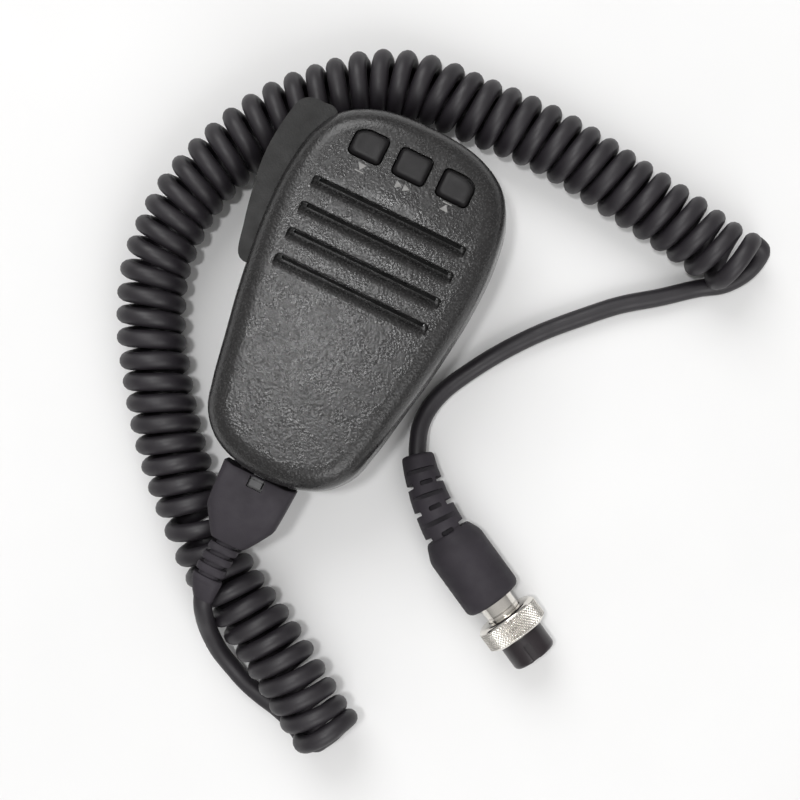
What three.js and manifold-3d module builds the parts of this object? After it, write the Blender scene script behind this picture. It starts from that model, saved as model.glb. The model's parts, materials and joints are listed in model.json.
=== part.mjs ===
// A hand microphone for a radio transceiver: a moulded two-part case with a push-to-talk lever and
// three keys, a plug-in curly cord, and a round screw-on connector at the cord's far end.
//
// Millimetres. The microphone lies on its back: +X is to the right as its face is seen, +Y points to
// its top end, +Z points out of its face. The origin is on the surface that it lies on, below the
// middle of the case.
import * as THREE from "three";
import { mergeVertices } from "three/addons/utils/BufferGeometryUtils.js";
import Module from "manifold-3d";

const wasm = await Module();
wasm.setup();

// ---------------------------------------------------------------- driving dimensions

const GAP = 0.3; // clearance between neighbouring pieces
const CASE_X = 1.95; // the case's centre line, right of the origin because the lever juts out left
const REAR_Z = 5; // flat of the rear cover
const SEAM_Z = 19.5; // where the two covers meet
const FACE_Z = 38; // highest point of the front cover
const WALL = 2.2; // thickness of both covers
const TONGUE = [2.5, 3.4]; // inner rim of the rear cover, by its distance from the outline
const TONGUE_HEIGHT = 1.8;

// Right half of the case's outline at the seam, from the top end to the cord end.
const OUTLINE_HALF = [
  [0, 54],
  [15, 52.4],
  [25, 47],
  [30, 38.9],
  [32.2, 27],
  [32.2, 12],
  [29.9, -8],
  [27.4, -22],
  [25.2, -34],
  [22.6, -43],
  [17, -49.4],
  [9, -52.9],
  [0, -54],
];
const OUTLINE_POINTS = 56;

const FRONT_DRAFT = 0.9; // how far the front cover's side leans in before its edge turns
const FRONT_EDGE = 6.5; // radius of the front cover's edge
const REAR_INSET = 11; // how far the rear cover's elliptical edge comes in
const CROWN_X = 1.0; // fall of the face at CROWN_HALF_WIDTH from the centre line
const CROWN_HALF_WIDTH = 28;
const CROWN_TOP = 1.6; // fall of the face at its top end
const CROWN_CORD = 1.2; // fall of the face at its cord end
const CROWN_MIDDLE_Y = 5;
const CROWN_HALF_LENGTH = 49;

const SLOT_TOPS = [27, 19.25, 11.5, 3.75]; // sharp upper edge of each louvre groove
const SLOT_HALF_LENGTH = 22.8;
const SLOT_DEPTH = 1.6;
const SLOT_FLOOR = 1.1; // width of a groove's floor below its sharp edge
const SLOT_WIDTH = 3.6;
const SLIT_WIDTH = 0.9; // the sound opening in a groove's floor
const SLIT_HALF_LENGTH = 21.5;

const KEYS = [
  { name: "down", x: -13, slope: -1 },
  { name: "fast", x: 0, slope: 0 },
  { name: "up", x: 13, slope: 1 },
];
const KEY_Y = 40.3;
const KEY_OPENING = [10, 8.5];
const KEY_SKIRT = [9.3, 7.8];
const KEY_TOP = [7.6, 6.1];
const KEY_FLANGE = [11.4, 9.6];
const KEY_FLANGE_Z = [33.1, 33.9];
const KEY_PROUD = 1.0; // how far a key stands above the face
const KEY_CORNER_CUT = [3.0, 1.7]; // the sloped outer corner of the two outer keys

const BUTTON_BOARD_Z = [28.4, 30];
const BUTTON_BOARD_Y = [31, 43.8];
const BUTTON_BOARD_HALF_WIDTH = 22;
const TACT_SIZE = 6;
const TACT_Z = [30.3, 32.3];
const TACT_BORE_Z = 30.9;
const TACT_PLUNGER_Z = [31.6, 32.8];
const TACT_PLUNGER_RADIUS = 1.7;
const BUTTON_BOARD_SCREWS = [-10, 10];
const BUTTON_BOARD_SCREW_Y = 33;

const LEVER_Z = [20.2, 31];
const LEVER_PIVOT = [-26.9, 3.2];
const LEVER_PIN_RADIUS = 1.2;
const LEVER_PIN_Z = [17.5, 33.5];
const LEVER_SHELL = 1.8;
const PTT_SWITCH_Y = 35;
const PTT_SWITCH_Z = 25.2;

const CAPSULE_Y = 13.5;
const CAPSULE_RADIUS = 15;

const MAIN_BOARD_Z = [13.2, 14.8];
const TONE_Y = -14;

const CASE_SCREWS = [
  { name: "top_left", x: -16, y: 47, head: 11.2, ceiling: 32.6 },
  { name: "top_right", x: 16, y: 47, head: 11.2, ceiling: 32.6 },
  { name: "bottom_left", x: -14, y: -41, head: 8.2, ceiling: 35.6 },
  { name: "bottom_right", x: 14, y: -41, head: 8.2, ceiling: 35.6 },
];
const SCREW_HEAD_RADIUS = 2.6;
const SCREW_HEAD_HEIGHT = 1.8;
const SCREW_SHANK_RADIUS = 1.3;
const SCREW_LENGTH = 16.8;

const HANG_Y = 18;
const HANG_HEAD_RADIUS = 6.3;
const HANG_HEAD_THICKNESS = 1.6;
const HANG_NECK_RADIUS = 3.2;

const JACK_X = -1.1;
const JACK_Z = 22.5;
const PLUG_SIZE = [11.7, 8];

// Cord.
const CORD_RADIUS = 2.6;
const COIL_RADIUS = 9.9;
const COIL_Z = 10;
const TABLE_Z = CORD_RADIUS + 0.02; // height of the cord's centre where it lies on the table

// Connector at the far end of the cord: its reference point, its heading in the plane and its height.
const CONNECTOR_AT = [67.8, -53.9];
const CONNECTOR_TURN = -118; // degrees that turn +Y to the direction the connector points
const CONNECTOR_Z = 9.5;
const NUT_RADIUS = 9.5;
const NUT_Y = [11.8, 19.3];
const INSERT_RADIUS = 6.75;
const INSERT_Y = [19, 27];
const BARREL_RADIUS = 5.05;
const CONTACTS = 8; // one in the middle and seven around it
const CONTACT_CIRCLE = 4.3;

// ---------------------------------------------------------------- materials

function finish(color, roughness, metalness = 0) {
  return new THREE.MeshStandardMaterial({ color, roughness, metalness });
}

const caseplastic = finish(0x3c3c3d, 0.55);
const keyRubber = finish(0x2c2b2e, 0.6);
const cordRubber = finish(0x2b2a2d, 0.62);
const bootRubber = finish(0x323136, 0.66);
const nickel = finish(0xc9c6bf, 0.28, 1);
const steel = finish(0xb4b6b8, 0.35, 1);
const brass = finish(0xc79a4a, 0.35, 1);
const blackPlastic = finish(0x1a1a1c, 0.45);
const clearPlastic = finish(0x9a9ca0, 0.3);
const boardGreen = finish(0x1f5a3a, 0.5);
const foam = finish(0x232325, 0.95);

// ---------------------------------------------------------------- geometry helpers

// The geometry with only positions, its shared vertices merged.
function plain(geometry) {
  const bare = geometry.clone();
  bare.deleteAttribute("normal");
  bare.deleteAttribute("uv");
  return mergeVertices(bare, 1e-4);
}

function toSolid(geometry) {
  const bare = plain(geometry);
  const vertProperties = new Float32Array(bare.attributes.position.array);
  const triVerts = new Uint32Array(bare.index.array);
  const made = new wasm.Manifold(new wasm.Mesh({ numProp: 3, vertProperties, triVerts }));
  if (made.volume() >= 0) return made;
  for (let i = 0; i < triVerts.length; i += 3) {
    [triVerts[i + 1], triVerts[i + 2]] = [triVerts[i + 2], triVerts[i + 1]];
  }
  return new wasm.Manifold(new wasm.Mesh({ numProp: 3, vertProperties, triVerts }));
}

function toGeometry(solid) {
  const mesh = solid.getMesh();
  const geometry = new THREE.BufferGeometry();
  geometry.setAttribute("position", new THREE.BufferAttribute(mesh.vertProperties, 3));
  geometry.setIndex(new THREE.BufferAttribute(mesh.triVerts, 1));
  geometry.computeVertexNormals();
  return geometry;
}

// base, with every piece in adds joined on and then every piece in cuts taken away. What is added
// stays within the hull, if there is one.
function carve(base, adds, cuts, hull) {
  let solid = toSolid(base);
  const limit = hull ? toSolid(hull) : null;
  for (const add of adds) solid = solid.add(limit ? limit.intersect(toSolid(add)) : toSolid(add));
  for (const cut of cuts) solid = solid.subtract(toSolid(cut));
  return toGeometry(solid);
}

// A closed solid through rings of points, each ring with the same number of points in the same order.
function loft(rings) {
  const count = rings[0].length;
  const positions = [];
  const index = [];
  for (const ring of rings) {
    for (const p of ring) positions.push(p.x, p.y, p.z);
  }
  for (let r = 0; r + 1 < rings.length; r++) {
    for (let i = 0; i < count; i++) {
      const next = (i + 1) % count;
      const a = r * count + i;
      const b = r * count + next;
      index.push(a, b, a + count);
      index.push(b, b + count, a + count);
    }
  }
  for (const [r, turn] of [
    [0, false],
    [rings.length - 1, true],
  ]) {
    const middle = new THREE.Vector3();
    for (const p of rings[r]) middle.addScaledVector(p, 1 / count);
    const centre = positions.length / 3;
    positions.push(middle.x, middle.y, middle.z);
    for (let i = 0; i < count; i++) {
      const a = r * count + i;
      const b = r * count + ((i + 1) % count);
      index.push(...(turn ? [a, b, centre] : [b, a, centre]));
    }
  }
  const geometry = new THREE.BufferGeometry();
  geometry.setAttribute("position", new THREE.Float32BufferAttribute(positions, 3));
  geometry.setIndex(index);
  return toGeometry(toSolid(geometry));
}

// A box from its lowest to its highest corner.
function block([x0, y0, z0], [x1, y1, z1]) {
  const geometry = new THREE.BoxGeometry(x1 - x0, y1 - y0, z1 - z0);
  return geometry.translate((x0 + x1) / 2, (y0 + y1) / 2, (z0 + z1) / 2);
}

// A cylinder along Z.
function post(radius, x, y, z0, z1, sides = 20) {
  const geometry = new THREE.CylinderGeometry(radius, radius, z1 - z0, sides);
  return geometry.rotateX(Math.PI / 2).translate(x, y, (z0 + z1) / 2);
}

// A turned piece: profile points are [radius, height], and the height runs along Z.
function turnedZ(profile, sides = 24) {
  const points = profile.map(([r, h]) => new THREE.Vector2(r, h));
  return toGeometry(toSolid(new THREE.LatheGeometry(points, sides).rotateX(Math.PI / 2)));
}

// A turned piece whose height runs along Y.
function turnedY(profile, sides = 24) {
  const points = profile.map(([r, h]) => new THREE.Vector2(r, h));
  return toGeometry(toSolid(new THREE.LatheGeometry(points, sides)));
}

// Points of a polygon with rounded corners, the same number at each corner.
function roundedPolygon(corners, radius, steps = 3) {
  const points = [];
  const count = corners.length;
  corners.forEach((corner, i) => {
    const here = new THREE.Vector2(...corner);
    const before = new THREE.Vector2(...corners[(i + count - 1) % count]).sub(here);
    const after = new THREE.Vector2(...corners[(i + 1) % count]).sub(here);
    const reach = Math.min(radius, 0.45 * before.length(), 0.45 * after.length());
    const start = here.clone().addScaledVector(before.normalize(), reach);
    const end = here.clone().addScaledVector(after.normalize(), reach);
    const curve = new THREE.QuadraticBezierCurve(start, here, end);
    points.push(...curve.getPoints(steps));
  });
  return points;
}

function shapeOf(points) {
  return new THREE.Shape(points.map((p) => new THREE.Vector2(p.x, p.y)));
}

// A flat outline pushed up along Z.
function slab(points, z0, z1) {
  const geometry = new THREE.ExtrudeGeometry(shapeOf(points), { depth: z1 - z0, bevelEnabled: false });
  return geometry.translate(0, 0, z0);
}

// A (y, z) outline pushed along X from -half to +half.
function prismX(outline, half, steps = 1) {
  const shape = new THREE.Shape(outline.map(([y, z]) => new THREE.Vector2(y, z)));
  const geometry = new THREE.ExtrudeGeometry(shape, { depth: 2 * half, steps, bevelEnabled: false });
  const turn = new THREE.Matrix4().makeBasis(
    new THREE.Vector3(0, 1, 0),
    new THREE.Vector3(0, 0, 1),
    new THREE.Vector3(1, 0, 0),
  );
  return geometry.applyMatrix4(turn).translate(-half, 0, 0);
}

// A tube of a regular section along a smooth curve through the points.
function tube(points, radius, sides, steps) {
  const path = new THREE.CatmullRomCurve3(points.map((p) => new THREE.Vector3(...p)));
  const section = new THREE.Shape();
  for (let i = 0; i < sides; i++) {
    const angle = (2 * Math.PI * (i + 0.5)) / sides;
    const point = [radius * Math.cos(angle), radius * Math.sin(angle)];
    if (i === 0) section.moveTo(...point);
    else section.lineTo(...point);
  }
  section.closePath();
  return new THREE.ExtrudeGeometry(section, { steps, extrudePath: path, bevelEnabled: false });
}

// ---------------------------------------------------------------- the case's shape

const outlineCurve = new THREE.CatmullRomCurve3(
  [
    ...OUTLINE_HALF.map(([x, y]) => new THREE.Vector3(x, y, 0)),
    ...OUTLINE_HALF.slice(1, -1)
      .reverse()
      .map(([x, y]) => new THREE.Vector3(-x, y, 0)),
  ],
  true,
  "centripetal",
);
const outlineBase = outlineCurve.getSpacedPoints(OUTLINE_POINTS).slice(0, OUTLINE_POINTS);

// The case's outline, moved in by inset all round, at height z, which may be a function of x and y.
function outline(inset, z) {
  return outlineBase.map((p, i) => {
    const before = outlineBase[(i + OUTLINE_POINTS - 1) % OUTLINE_POINTS];
    const after = outlineBase[(i + 1) % OUTLINE_POINTS];
    const along = after.clone().sub(before).normalize();
    const point = new THREE.Vector3(p.x + along.y * inset, p.y - along.x * inset, 0);
    point.z = typeof z === "function" ? z(point.x, point.y) : z;
    return point;
  });
}

// A ring drawn in towards its middle, for the flat part of a face.
function shrunk(ring, share, z) {
  return ring.map((p) => {
    const point = new THREE.Vector3(p.x * share, p.y * share, 0);
    point.z = typeof z === "function" ? z(point.x, point.y) : z;
    return point;
  });
}

// Height of the front cover's outer face.
function faceHeight(x, y) {
  const across = CROWN_X * (x / CROWN_HALF_WIDTH) ** 2;
  const fall = y > CROWN_MIDDLE_Y ? CROWN_TOP : CROWN_CORD;
  return FACE_Z - across - fall * ((y - CROWN_MIDDLE_Y) / CROWN_HALF_LENGTH) ** 2;
}

const FACE_RINGS = [0.75, 0.5, 0.25];
const EDGE_STEPS = 4;

// Rings of one skin of the front cover, from the seam up and in over the face.
function frontSkin(offset) {
  const radius = FRONT_EDGE - offset;
  const rings = [outline(offset, SEAM_Z)];
  for (let i = 0; i <= EDGE_STEPS; i++) {
    const angle = (Math.PI / 2) * (i / EDGE_STEPS);
    const inset = offset + FRONT_DRAFT + radius * (1 - Math.cos(angle));
    const drop = offset + radius * (1 - Math.sin(angle));
    rings.push(outline(inset, (x, y) => faceHeight(x, y) - drop));
  }
  const last = rings[rings.length - 1];
  for (const share of FACE_RINGS) rings.push(shrunk(last, share, (x, y) => faceHeight(x, y) - offset));
  return rings;
}

// Rings of one skin of the rear cover, from its rim down and in over the flat of the back.
function rearSkin(offset) {
  const rim = SEAM_Z - GAP;
  const depth = rim - REAR_Z - offset;
  const reach = REAR_INSET - offset;
  const rings = [];
  for (let i = 0; i <= EDGE_STEPS + 1; i++) {
    const angle = (Math.PI / 2) * (i / (EDGE_STEPS + 1));
    rings.push(outline(offset + reach * (1 - Math.cos(angle)), rim - depth * Math.sin(angle)));
  }
  const last = rings[rings.length - 1];
  rings.push(shrunk(last, 0.5, REAR_Z + offset));
  return rings;
}

// Rings of the rear cover's rim, from the outside over the tongue to the inside.
function rearRim() {
  const rim = SEAM_Z - GAP;
  const [near, far] = TONGUE;
  return [
    outline(near, rim),
    outline(near + 0.1, rim + TONGUE_HEIGHT),
    outline(far, rim + TONGUE_HEIGHT),
    outline(far, rim - 1),
  ];
}

// ---------------------------------------------------------------- lever

// The lever's outline, seen from the front: its outer edge from the pivot end up, then its inner edge.
const LEVER_OUTLINE = [
  [-30.9, 0],
  [-33.2, 8],
  [-34.9, 16],
  [-36.1, 24],
  [-36.3, 29],
  [-35.9, 35],
  [-34.9, 41],
  [-34.3, 43],
  [-32.6, 44.5],
  [-27.2, 44.5],
  [-28.3, 38],
  [-29.2, 28],
  [-29.3, 16],
  [-28.6, 7],
  [-27.6, 0],
];

function leverOutline(spread) {
  const count = LEVER_OUTLINE.length;
  return LEVER_OUTLINE.map(([x, y], i) => {
    const before = LEVER_OUTLINE[(i + count - 1) % count];
    const after = LEVER_OUTLINE[(i + 1) % count];
    const along = new THREE.Vector2(after[0] - before[0], after[1] - before[1]).normalize();
    return new THREE.Vector2(x - along.y * spread, y + along.x * spread);
  });
}

function leverWindow() {
  const clear = 0.55;
  const edges = [
    [-40, -clear],
    [-40, 44.5 + 2 * clear],
    [-24.5, 44.5 + 2 * clear],
    [-24.5, -clear],
  ];
  const points = edges.map(([x, y]) => new THREE.Vector2(x, y));
  return slab(points, SEAM_Z - GAP, LEVER_Z[1] + GAP + 0.1);
}

function leverCap() {
  const rounding = [
    [LEVER_Z[0], -1.1],
    [LEVER_Z[0] + 0.5, -0.4],
    [LEVER_Z[0] + 1.4, 0],
    [LEVER_Z[1] - 2.6, 0],
    [LEVER_Z[1] - 1.0, -0.6],
    [LEVER_Z[1], -2.0],
  ];
  const rings = rounding.map(([z, spread]) =>
    leverOutline(spread).map((p) => new THREE.Vector3(p.x, p.y, z)),
  );
  return loft(rings);
}

function pttLever() {
  const [px, py] = LEVER_PIVOT;
  const hub = post(2.6, px, py, LEVER_Z[0] + 1.6, LEVER_Z[1] - 0.6);
  const hubArm = block([-30.5, 1.2, LEVER_Z[0] + 1.6], [px, 5.2, LEVER_Z[1] - 0.6]);
  const rib = block([-30, PTT_SWITCH_Y - 2, PTT_SWITCH_Z - 2], [-25.9, PTT_SWITCH_Y + 2, PTT_SWITCH_Z + 2]);
  const bore = post(LEVER_PIN_RADIUS + GAP, px, py, LEVER_Z[0] - 1, LEVER_Z[1] + 1);
  const springRoom = post(3.4, px, py, 24.2, 27.4);
  const armRoom = block([-30.6, py + 1, 24.2], [-27, 9.2, 27.4]);
  const lower = block([-33.4, 9, LEVER_Z[0] + LEVER_SHELL], [-27, 31.5, LEVER_Z[1] - LEVER_SHELL]);
  const upper = block([-33, 38.6, LEVER_Z[0] + LEVER_SHELL], [-27, 42.6, LEVER_Z[1] - LEVER_SHELL]);
  return carve(leverCap(), [hubArm, hub, rib], [bore, springRoom, armRoom, lower, upper]);
}

function pivotPin() {
  const [px, py] = LEVER_PIVOT;
  return post(LEVER_PIN_RADIUS, px, py, ...LEVER_PIN_Z, 16);
}

// Three turns of wire round the pivot pin, with one arm along the lever and one towards the case.
function torsionSpring() {
  const [px, py] = LEVER_PIVOT;
  const wire = 0.3;
  const radius = 2.1;
  const turns = 2.75;
  const steps = 22;
  const points = [[px - 2.4, py + 7.5, 24.7]];
  for (let i = 0; i <= steps; i++) {
    const share = i / steps;
    const angle = Math.PI - 2 * Math.PI * turns * share;
    points.push([px + radius * Math.cos(angle), py + radius * Math.sin(angle), 24.7 + 2.2 * share]);
  }
  points.push([px + 4.6, py + 2.0, 26.9]);
  return tube(points, wire, 6, 60);
}

// ---------------------------------------------------------------- covers

function slotCutters() {
  const cutters = [];
  const rise = SLOT_DEPTH / (SLOT_WIDTH - SLOT_FLOOR);
  const above = 1;
  for (const top of SLOT_TOPS) {
    const groove = prismX(
      [
        [top, above],
        [top, -SLOT_DEPTH],
        [top - SLOT_FLOOR, -SLOT_DEPTH],
        [top - SLOT_WIDTH - above / rise, above],
      ].reverse(),
      SLOT_HALF_LENGTH,
      8,
    );
    const slit = block([-SLIT_HALF_LENGTH, top - SLIT_WIDTH, -4], [SLIT_HALF_LENGTH, top, -SLOT_DEPTH + 0.2]);
    for (const piece of [groove, slit]) {
      const at = piece.attributes.position;
      for (let i = 0; i < at.count; i++) at.setZ(i, at.getZ(i) + faceHeight(at.getX(i), at.getY(i)));
      cutters.push(piece);
    }
  }
  return cutters;
}

// A key-shaped outline: a rounded rectangle whose outer upper corner is cut off on the outer keys.
function keyOutline(key, [width, height], radius) {
  const w = width / 2;
  const h = height / 2;
  const [cutX, cutY] = key.slope === 0 ? [radius * 1.2, 0.01] : KEY_CORNER_CUT;
  const corners = [
    [w, -h],
    [w, h],
    [-w + cutX, h],
    [-w, h - cutY],
    [-w, -h],
  ];
  if (key.slope === 0) corners.splice(2, 2, [-w, h]);
  const placed = key.slope > 0 ? corners.map(([x, y]) => [-x, y]).reverse() : corners;
  return roundedPolygon(placed, radius).map((p) => new THREE.Vector2(p.x + key.x, p.y + KEY_Y));
}

// Rings of the opening for the plug and its boot at the cord end.
function cordOpening() {
  return block([JACK_X - 6.6, -56, JACK_Z - 4.7], [JACK_X + 6.6, -46, JACK_Z + 4.7]);
}

function latchOpening() {
  return block([JACK_X - 2.4, -56, JACK_Z], [JACK_X + 2.4, -46, JACK_Z + 7]);
}

function frontCover() {
  const inner = frontSkin(WALL);
  const outer = frontSkin(0);
  const shell = loft([...inner.reverse(), ...outer]);
  const ceiling = 35.6;
  const adds = CASE_SCREWS.map((screw) => post(2.8, screw.x, screw.y, SEAM_Z, screw.ceiling));
  for (const x of BUTTON_BOARD_SCREWS) {
    adds.push(post(2, x, BUTTON_BOARD_SCREW_Y, BUTTON_BOARD_Z[1] + GAP, ceiling, 14));
  }
  adds.push(post(2.6, ...LEVER_PIVOT, LEVER_Z[1] + GAP, ceiling - 0.6));
  const cuts = [...slotCutters(), leverWindow(), cordOpening(), latchOpening()];
  for (const key of KEYS) cuts.push(slab(keyOutline(key, KEY_OPENING, 1.9), 30, 40));
  for (const screw of CASE_SCREWS) {
    const end = screw.head + SCREW_LENGTH + 0.6;
    cuts.push(post(SCREW_SHANK_RADIUS + 0.2, screw.x, screw.y, SEAM_Z - 1, end, 14));
  }
  for (const x of BUTTON_BOARD_SCREWS) cuts.push(post(1.2, x, BUTTON_BOARD_SCREW_Y, 28, 33.6, 12));
  cuts.push(post(LEVER_PIN_RADIUS + 0.2, ...LEVER_PIVOT, 30, LEVER_PIN_Z[1] + GAP, 16));
  return carve(shell, adds, cuts, loft(frontSkin(0.3)));
}

function rearCover() {
  const inner = rearSkin(WALL).slice(1);
  const outer = rearSkin(0);
  const shell = loft([...outer.reverse(), ...rearRim(), ...inner]);
  const floor = REAR_Z + WALL - 0.4;
  const adds = CASE_SCREWS.map((screw) => post(3.9, screw.x, screw.y, floor - 1, SEAM_Z - GAP));
  for (const side of [-1, 1]) adds.push(post(2.2, side * 9.5, -10, floor, MAIN_BOARD_Z[0] - GAP, 14));
  adds.push(post(2.6, ...LEVER_PIVOT, floor + 2, SEAM_Z - GAP));
  const cuts = [cordOpening(), leverWindow()];
  for (const screw of CASE_SCREWS) {
    const seat = screw.head + SCREW_HEAD_HEIGHT + GAP;
    cuts.push(post(SCREW_HEAD_RADIUS + 0.3, screw.x, screw.y, 3, seat, 18));
    cuts.push(post(SCREW_SHANK_RADIUS + 0.3, screw.x, screw.y, 3, 22, 14));
    cuts.push(post(3.2, screw.x, screw.y, SEAM_Z - GAP, SEAM_Z + TONGUE_HEIGHT + 1));
  }
  cuts.push(post(2.1, 0, HANG_Y, 3, 10, 18));
  cuts.push(block([-3.3, TONE_Y - 1.7, 3], [3.3, TONE_Y + 1.7, 9]));
  for (const side of [-1, 1]) cuts.push(post(1.2, side * 9.5, -10, 8.6, 16, 12));
  cuts.push(post(LEVER_PIN_RADIUS + 0.2, ...LEVER_PIVOT, LEVER_PIN_Z[0] - GAP, 22, 16));
  const hull = loft([...rearSkin(0).reverse(), outline(0, SEAM_Z + TONGUE_HEIGHT + 1)]);
  return carve(shell, adds, cuts, hull);
}

// ---------------------------------------------------------------- keys and switches

function keyCap(key) {
  const top = faceHeight(key.x, KEY_Y) + KEY_PROUD;
  const face = faceHeight(key.x, KEY_Y);
  const ringAt = (size, radius, z) =>
    keyOutline(key, size, radius).map((p) => new THREE.Vector3(p.x, p.y, z));
  const middle = [(KEY_TOP[0] + KEY_SKIRT[0]) / 2 - 0.3, (KEY_TOP[1] + KEY_SKIRT[1]) / 2 - 0.3];
  return loft([
    ringAt(KEY_FLANGE, 1.6, KEY_FLANGE_Z[0]),
    ringAt(KEY_FLANGE, 1.6, KEY_FLANGE_Z[1]),
    ringAt(KEY_SKIRT, 1.5, KEY_FLANGE_Z[1]),
    ringAt(KEY_SKIRT, 1.5, face - 0.9),
    ringAt(middle, 1.4, face + 0.2),
    ringAt(KEY_TOP, 1.3, top - 0.15),
    ringAt([KEY_TOP[0] - 0.8, KEY_TOP[1] - 0.8], 1.1, top),
  ]);
}

function tactSwitch(key) {
  const half = TACT_SIZE / 2;
  const body = block([key.x - half, KEY_Y - half, TACT_Z[0]], [key.x + half, KEY_Y + half, TACT_Z[1]]);
  return carve(body, [], [post(TACT_PLUNGER_RADIUS + GAP, key.x, KEY_Y, TACT_BORE_Z, 35, 16)]);
}

function buttonBoard() {
  const w = BUTTON_BOARD_HALF_WIDTH;
  const board = block([-w, BUTTON_BOARD_Y[0], BUTTON_BOARD_Z[0]], [w, BUTTON_BOARD_Y[1], BUTTON_BOARD_Z[1]]);
  const holes = BUTTON_BOARD_SCREWS.map((x) => post(1.3, x, BUTTON_BOARD_SCREW_Y, 27, 31, 12));
  return carve(board, [], holes);
}

function buttonBoardScrew(x) {
  const profile = [
    [0, 26.5],
    [1.9, 26.5],
    [2.1, 26.9],
    [2.1, 28.1],
    [0.95, 28.1],
    [0.95, 33],
    [0, 33.3],
  ];
  return turnedZ(profile, 12).translate(x, BUTTON_BOARD_SCREW_Y, 0);
}

function pttSwitch() {
  const y = PTT_SWITCH_Y;
  const body = block([-23.2, y - 6, 22.3], [-17.2, y + 6, BUTTON_BOARD_Z[0] - GAP]);
  const bore = post(1.5, 0, 0, -24, -18.4, 14).rotateY(Math.PI / 2).translate(0, y, PTT_SWITCH_Z);
  return carve(body, [], [bore]);
}

function pttPlunger() {
  return post(1.15, 0, 0, -25.6, -20.9, 14).rotateY(Math.PI / 2).translate(0, PTT_SWITCH_Y, PTT_SWITCH_Z);
}

// ---------------------------------------------------------------- sound pieces

function acousticScreen() {
  const corners = [
    [23.5, -1],
    [23.5, 29],
    [-23.5, 29],
    [-23.5, -1],
  ];
  return slab(roundedPolygon(corners, 3), 33.1, 33.6);
}

function ring(innerRadius, outerRadius, z0, z1, sides = 28) {
  const profile = [
    [innerRadius, z0],
    [outerRadius, z0],
    [outerRadius, z1],
    [innerRadius, z1],
    [innerRadius, z0],
  ];
  return turnedZ(profile, sides);
}

function capsule() {
  const profile = [
    [0, 15.6],
    [7.6, 15.6],
    [8, 16],
    [8, 19.4],
    [CAPSULE_RADIUS - 1, 20],
    [CAPSULE_RADIUS, 21],
    [CAPSULE_RADIUS, 29],
    [CAPSULE_RADIUS - 1, 29.6],
    [0, 29.6],
  ];
  return turnedZ(profile, 28).translate(0, CAPSULE_Y, 0);
}

function capsuleLead(side) {
  return tube(
    [
      [side * 4, 3.6, 18.6],
      [side * 4, 0.5, 18.4],
      [side * 3.6, -3, 16.6],
      [side * 3.2, -7, 15.9],
    ],
    0.5,
    6,
    8,
  );
}

// ---------------------------------------------------------------- main board, tone switch, jack

function mainBoard() {
  const corners = [
    [9.2, -49.2],
    [9.2, -33],
    [21.5, -27],
    [21.5, -6],
    [-21.5, -6],
    [-21.5, -27],
    [-9.2, -33],
    [-9.2, -49.2],
  ];
  const board = slab(roundedPolygon(corners, 0.4, 1), ...MAIN_BOARD_Z);
  return carve(board, [], [-1, 1].map((side) => post(1.4, side * 9.5, -10, 12, 16, 12)));
}

function mainBoardScrew(side) {
  const profile = [
    [0, 9],
    [0.95, 9.4],
    [0.95, 15.1],
    [2.1, 15.1],
    [2.1, 16.2],
    [1.8, 16.6],
    [0, 16.6],
  ];
  return turnedZ(profile, 12).translate(side * 9.5, -10, 0);
}

function ribbonCable() {
  const x = 19;
  const section = shapeOf(
    [
      [2.2, 0.2],
      [-2.2, 0.2],
      [-2.2, -0.2],
      [2.2, -0.2],
    ].map(([a, b]) => new THREE.Vector2(a, b)),
  );
  const points = [
    [x, 33.4, 27.9],
    [x, 33, 25.6],
    [x, 29, 23.6],
    [x, 16, 21.4],
    [x, 2, 19.2],
    [x, -5, 17.6],
    [x, -8.4, 16],
    [x, -9, 15.3],
  ];
  const extrudePath = new THREE.CatmullRomCurve3(points.map((p) => new THREE.Vector3(...p)));
  return new THREE.ExtrudeGeometry(section, { steps: 16, extrudePath, bevelEnabled: false });
}

function preampChip() {
  return block([-14.5, -24, MAIN_BOARD_Z[1] + GAP], [-6.5, -18, MAIN_BOARD_Z[1] + 2]);
}

function couplingCapacitor() {
  const base = MAIN_BOARD_Z[1] + GAP;
  return turnedZ(
    [
      [0, base],
      [2.5, base],
      [2.5, base + 6.2],
      [2.2, base + 6.6],
      [0, base + 6.6],
    ],
    16,
  ).translate(8, -24, 0);
}

function toneSwitch() {
  const body = block([-4.6, TONE_Y - 2.4, 8.4], [4.6, TONE_Y + 2.4, MAIN_BOARD_Z[0] - GAP]);
  return carve(body, [], [block([-2.9, TONE_Y - 1.3, 7], [2.9, TONE_Y + 1.3, 10.4])]);
}

function toneSlider() {
  const grip = block([-2.3, TONE_Y - 1, 5.4], [0.3, TONE_Y + 1, 10]);
  const groove = block([-1.2, TONE_Y - 1.1, 5], [-0.8, TONE_Y + 1.1, 5.8]);
  return carve(grip, [], [groove]);
}

function modularJack() {
  const [w, h] = PLUG_SIZE;
  const body = block([JACK_X - 7.9, -48.8, MAIN_BOARD_Z[1] + GAP], [JACK_X + 7.9, -34, 29.4]);
  const mouth = block(
    [JACK_X - w / 2 - GAP, -51, JACK_Z - h / 2 - GAP],
    [JACK_X + w / 2 + GAP, -36.4, JACK_Z + h / 2 + GAP],
  );
  const latchRoom = block([JACK_X - 2.1, -51, JACK_Z], [JACK_X + 2.1, -40, JACK_Z + 6.2]);
  return carve(body, [], [mouth, latchRoom]);
}

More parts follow.
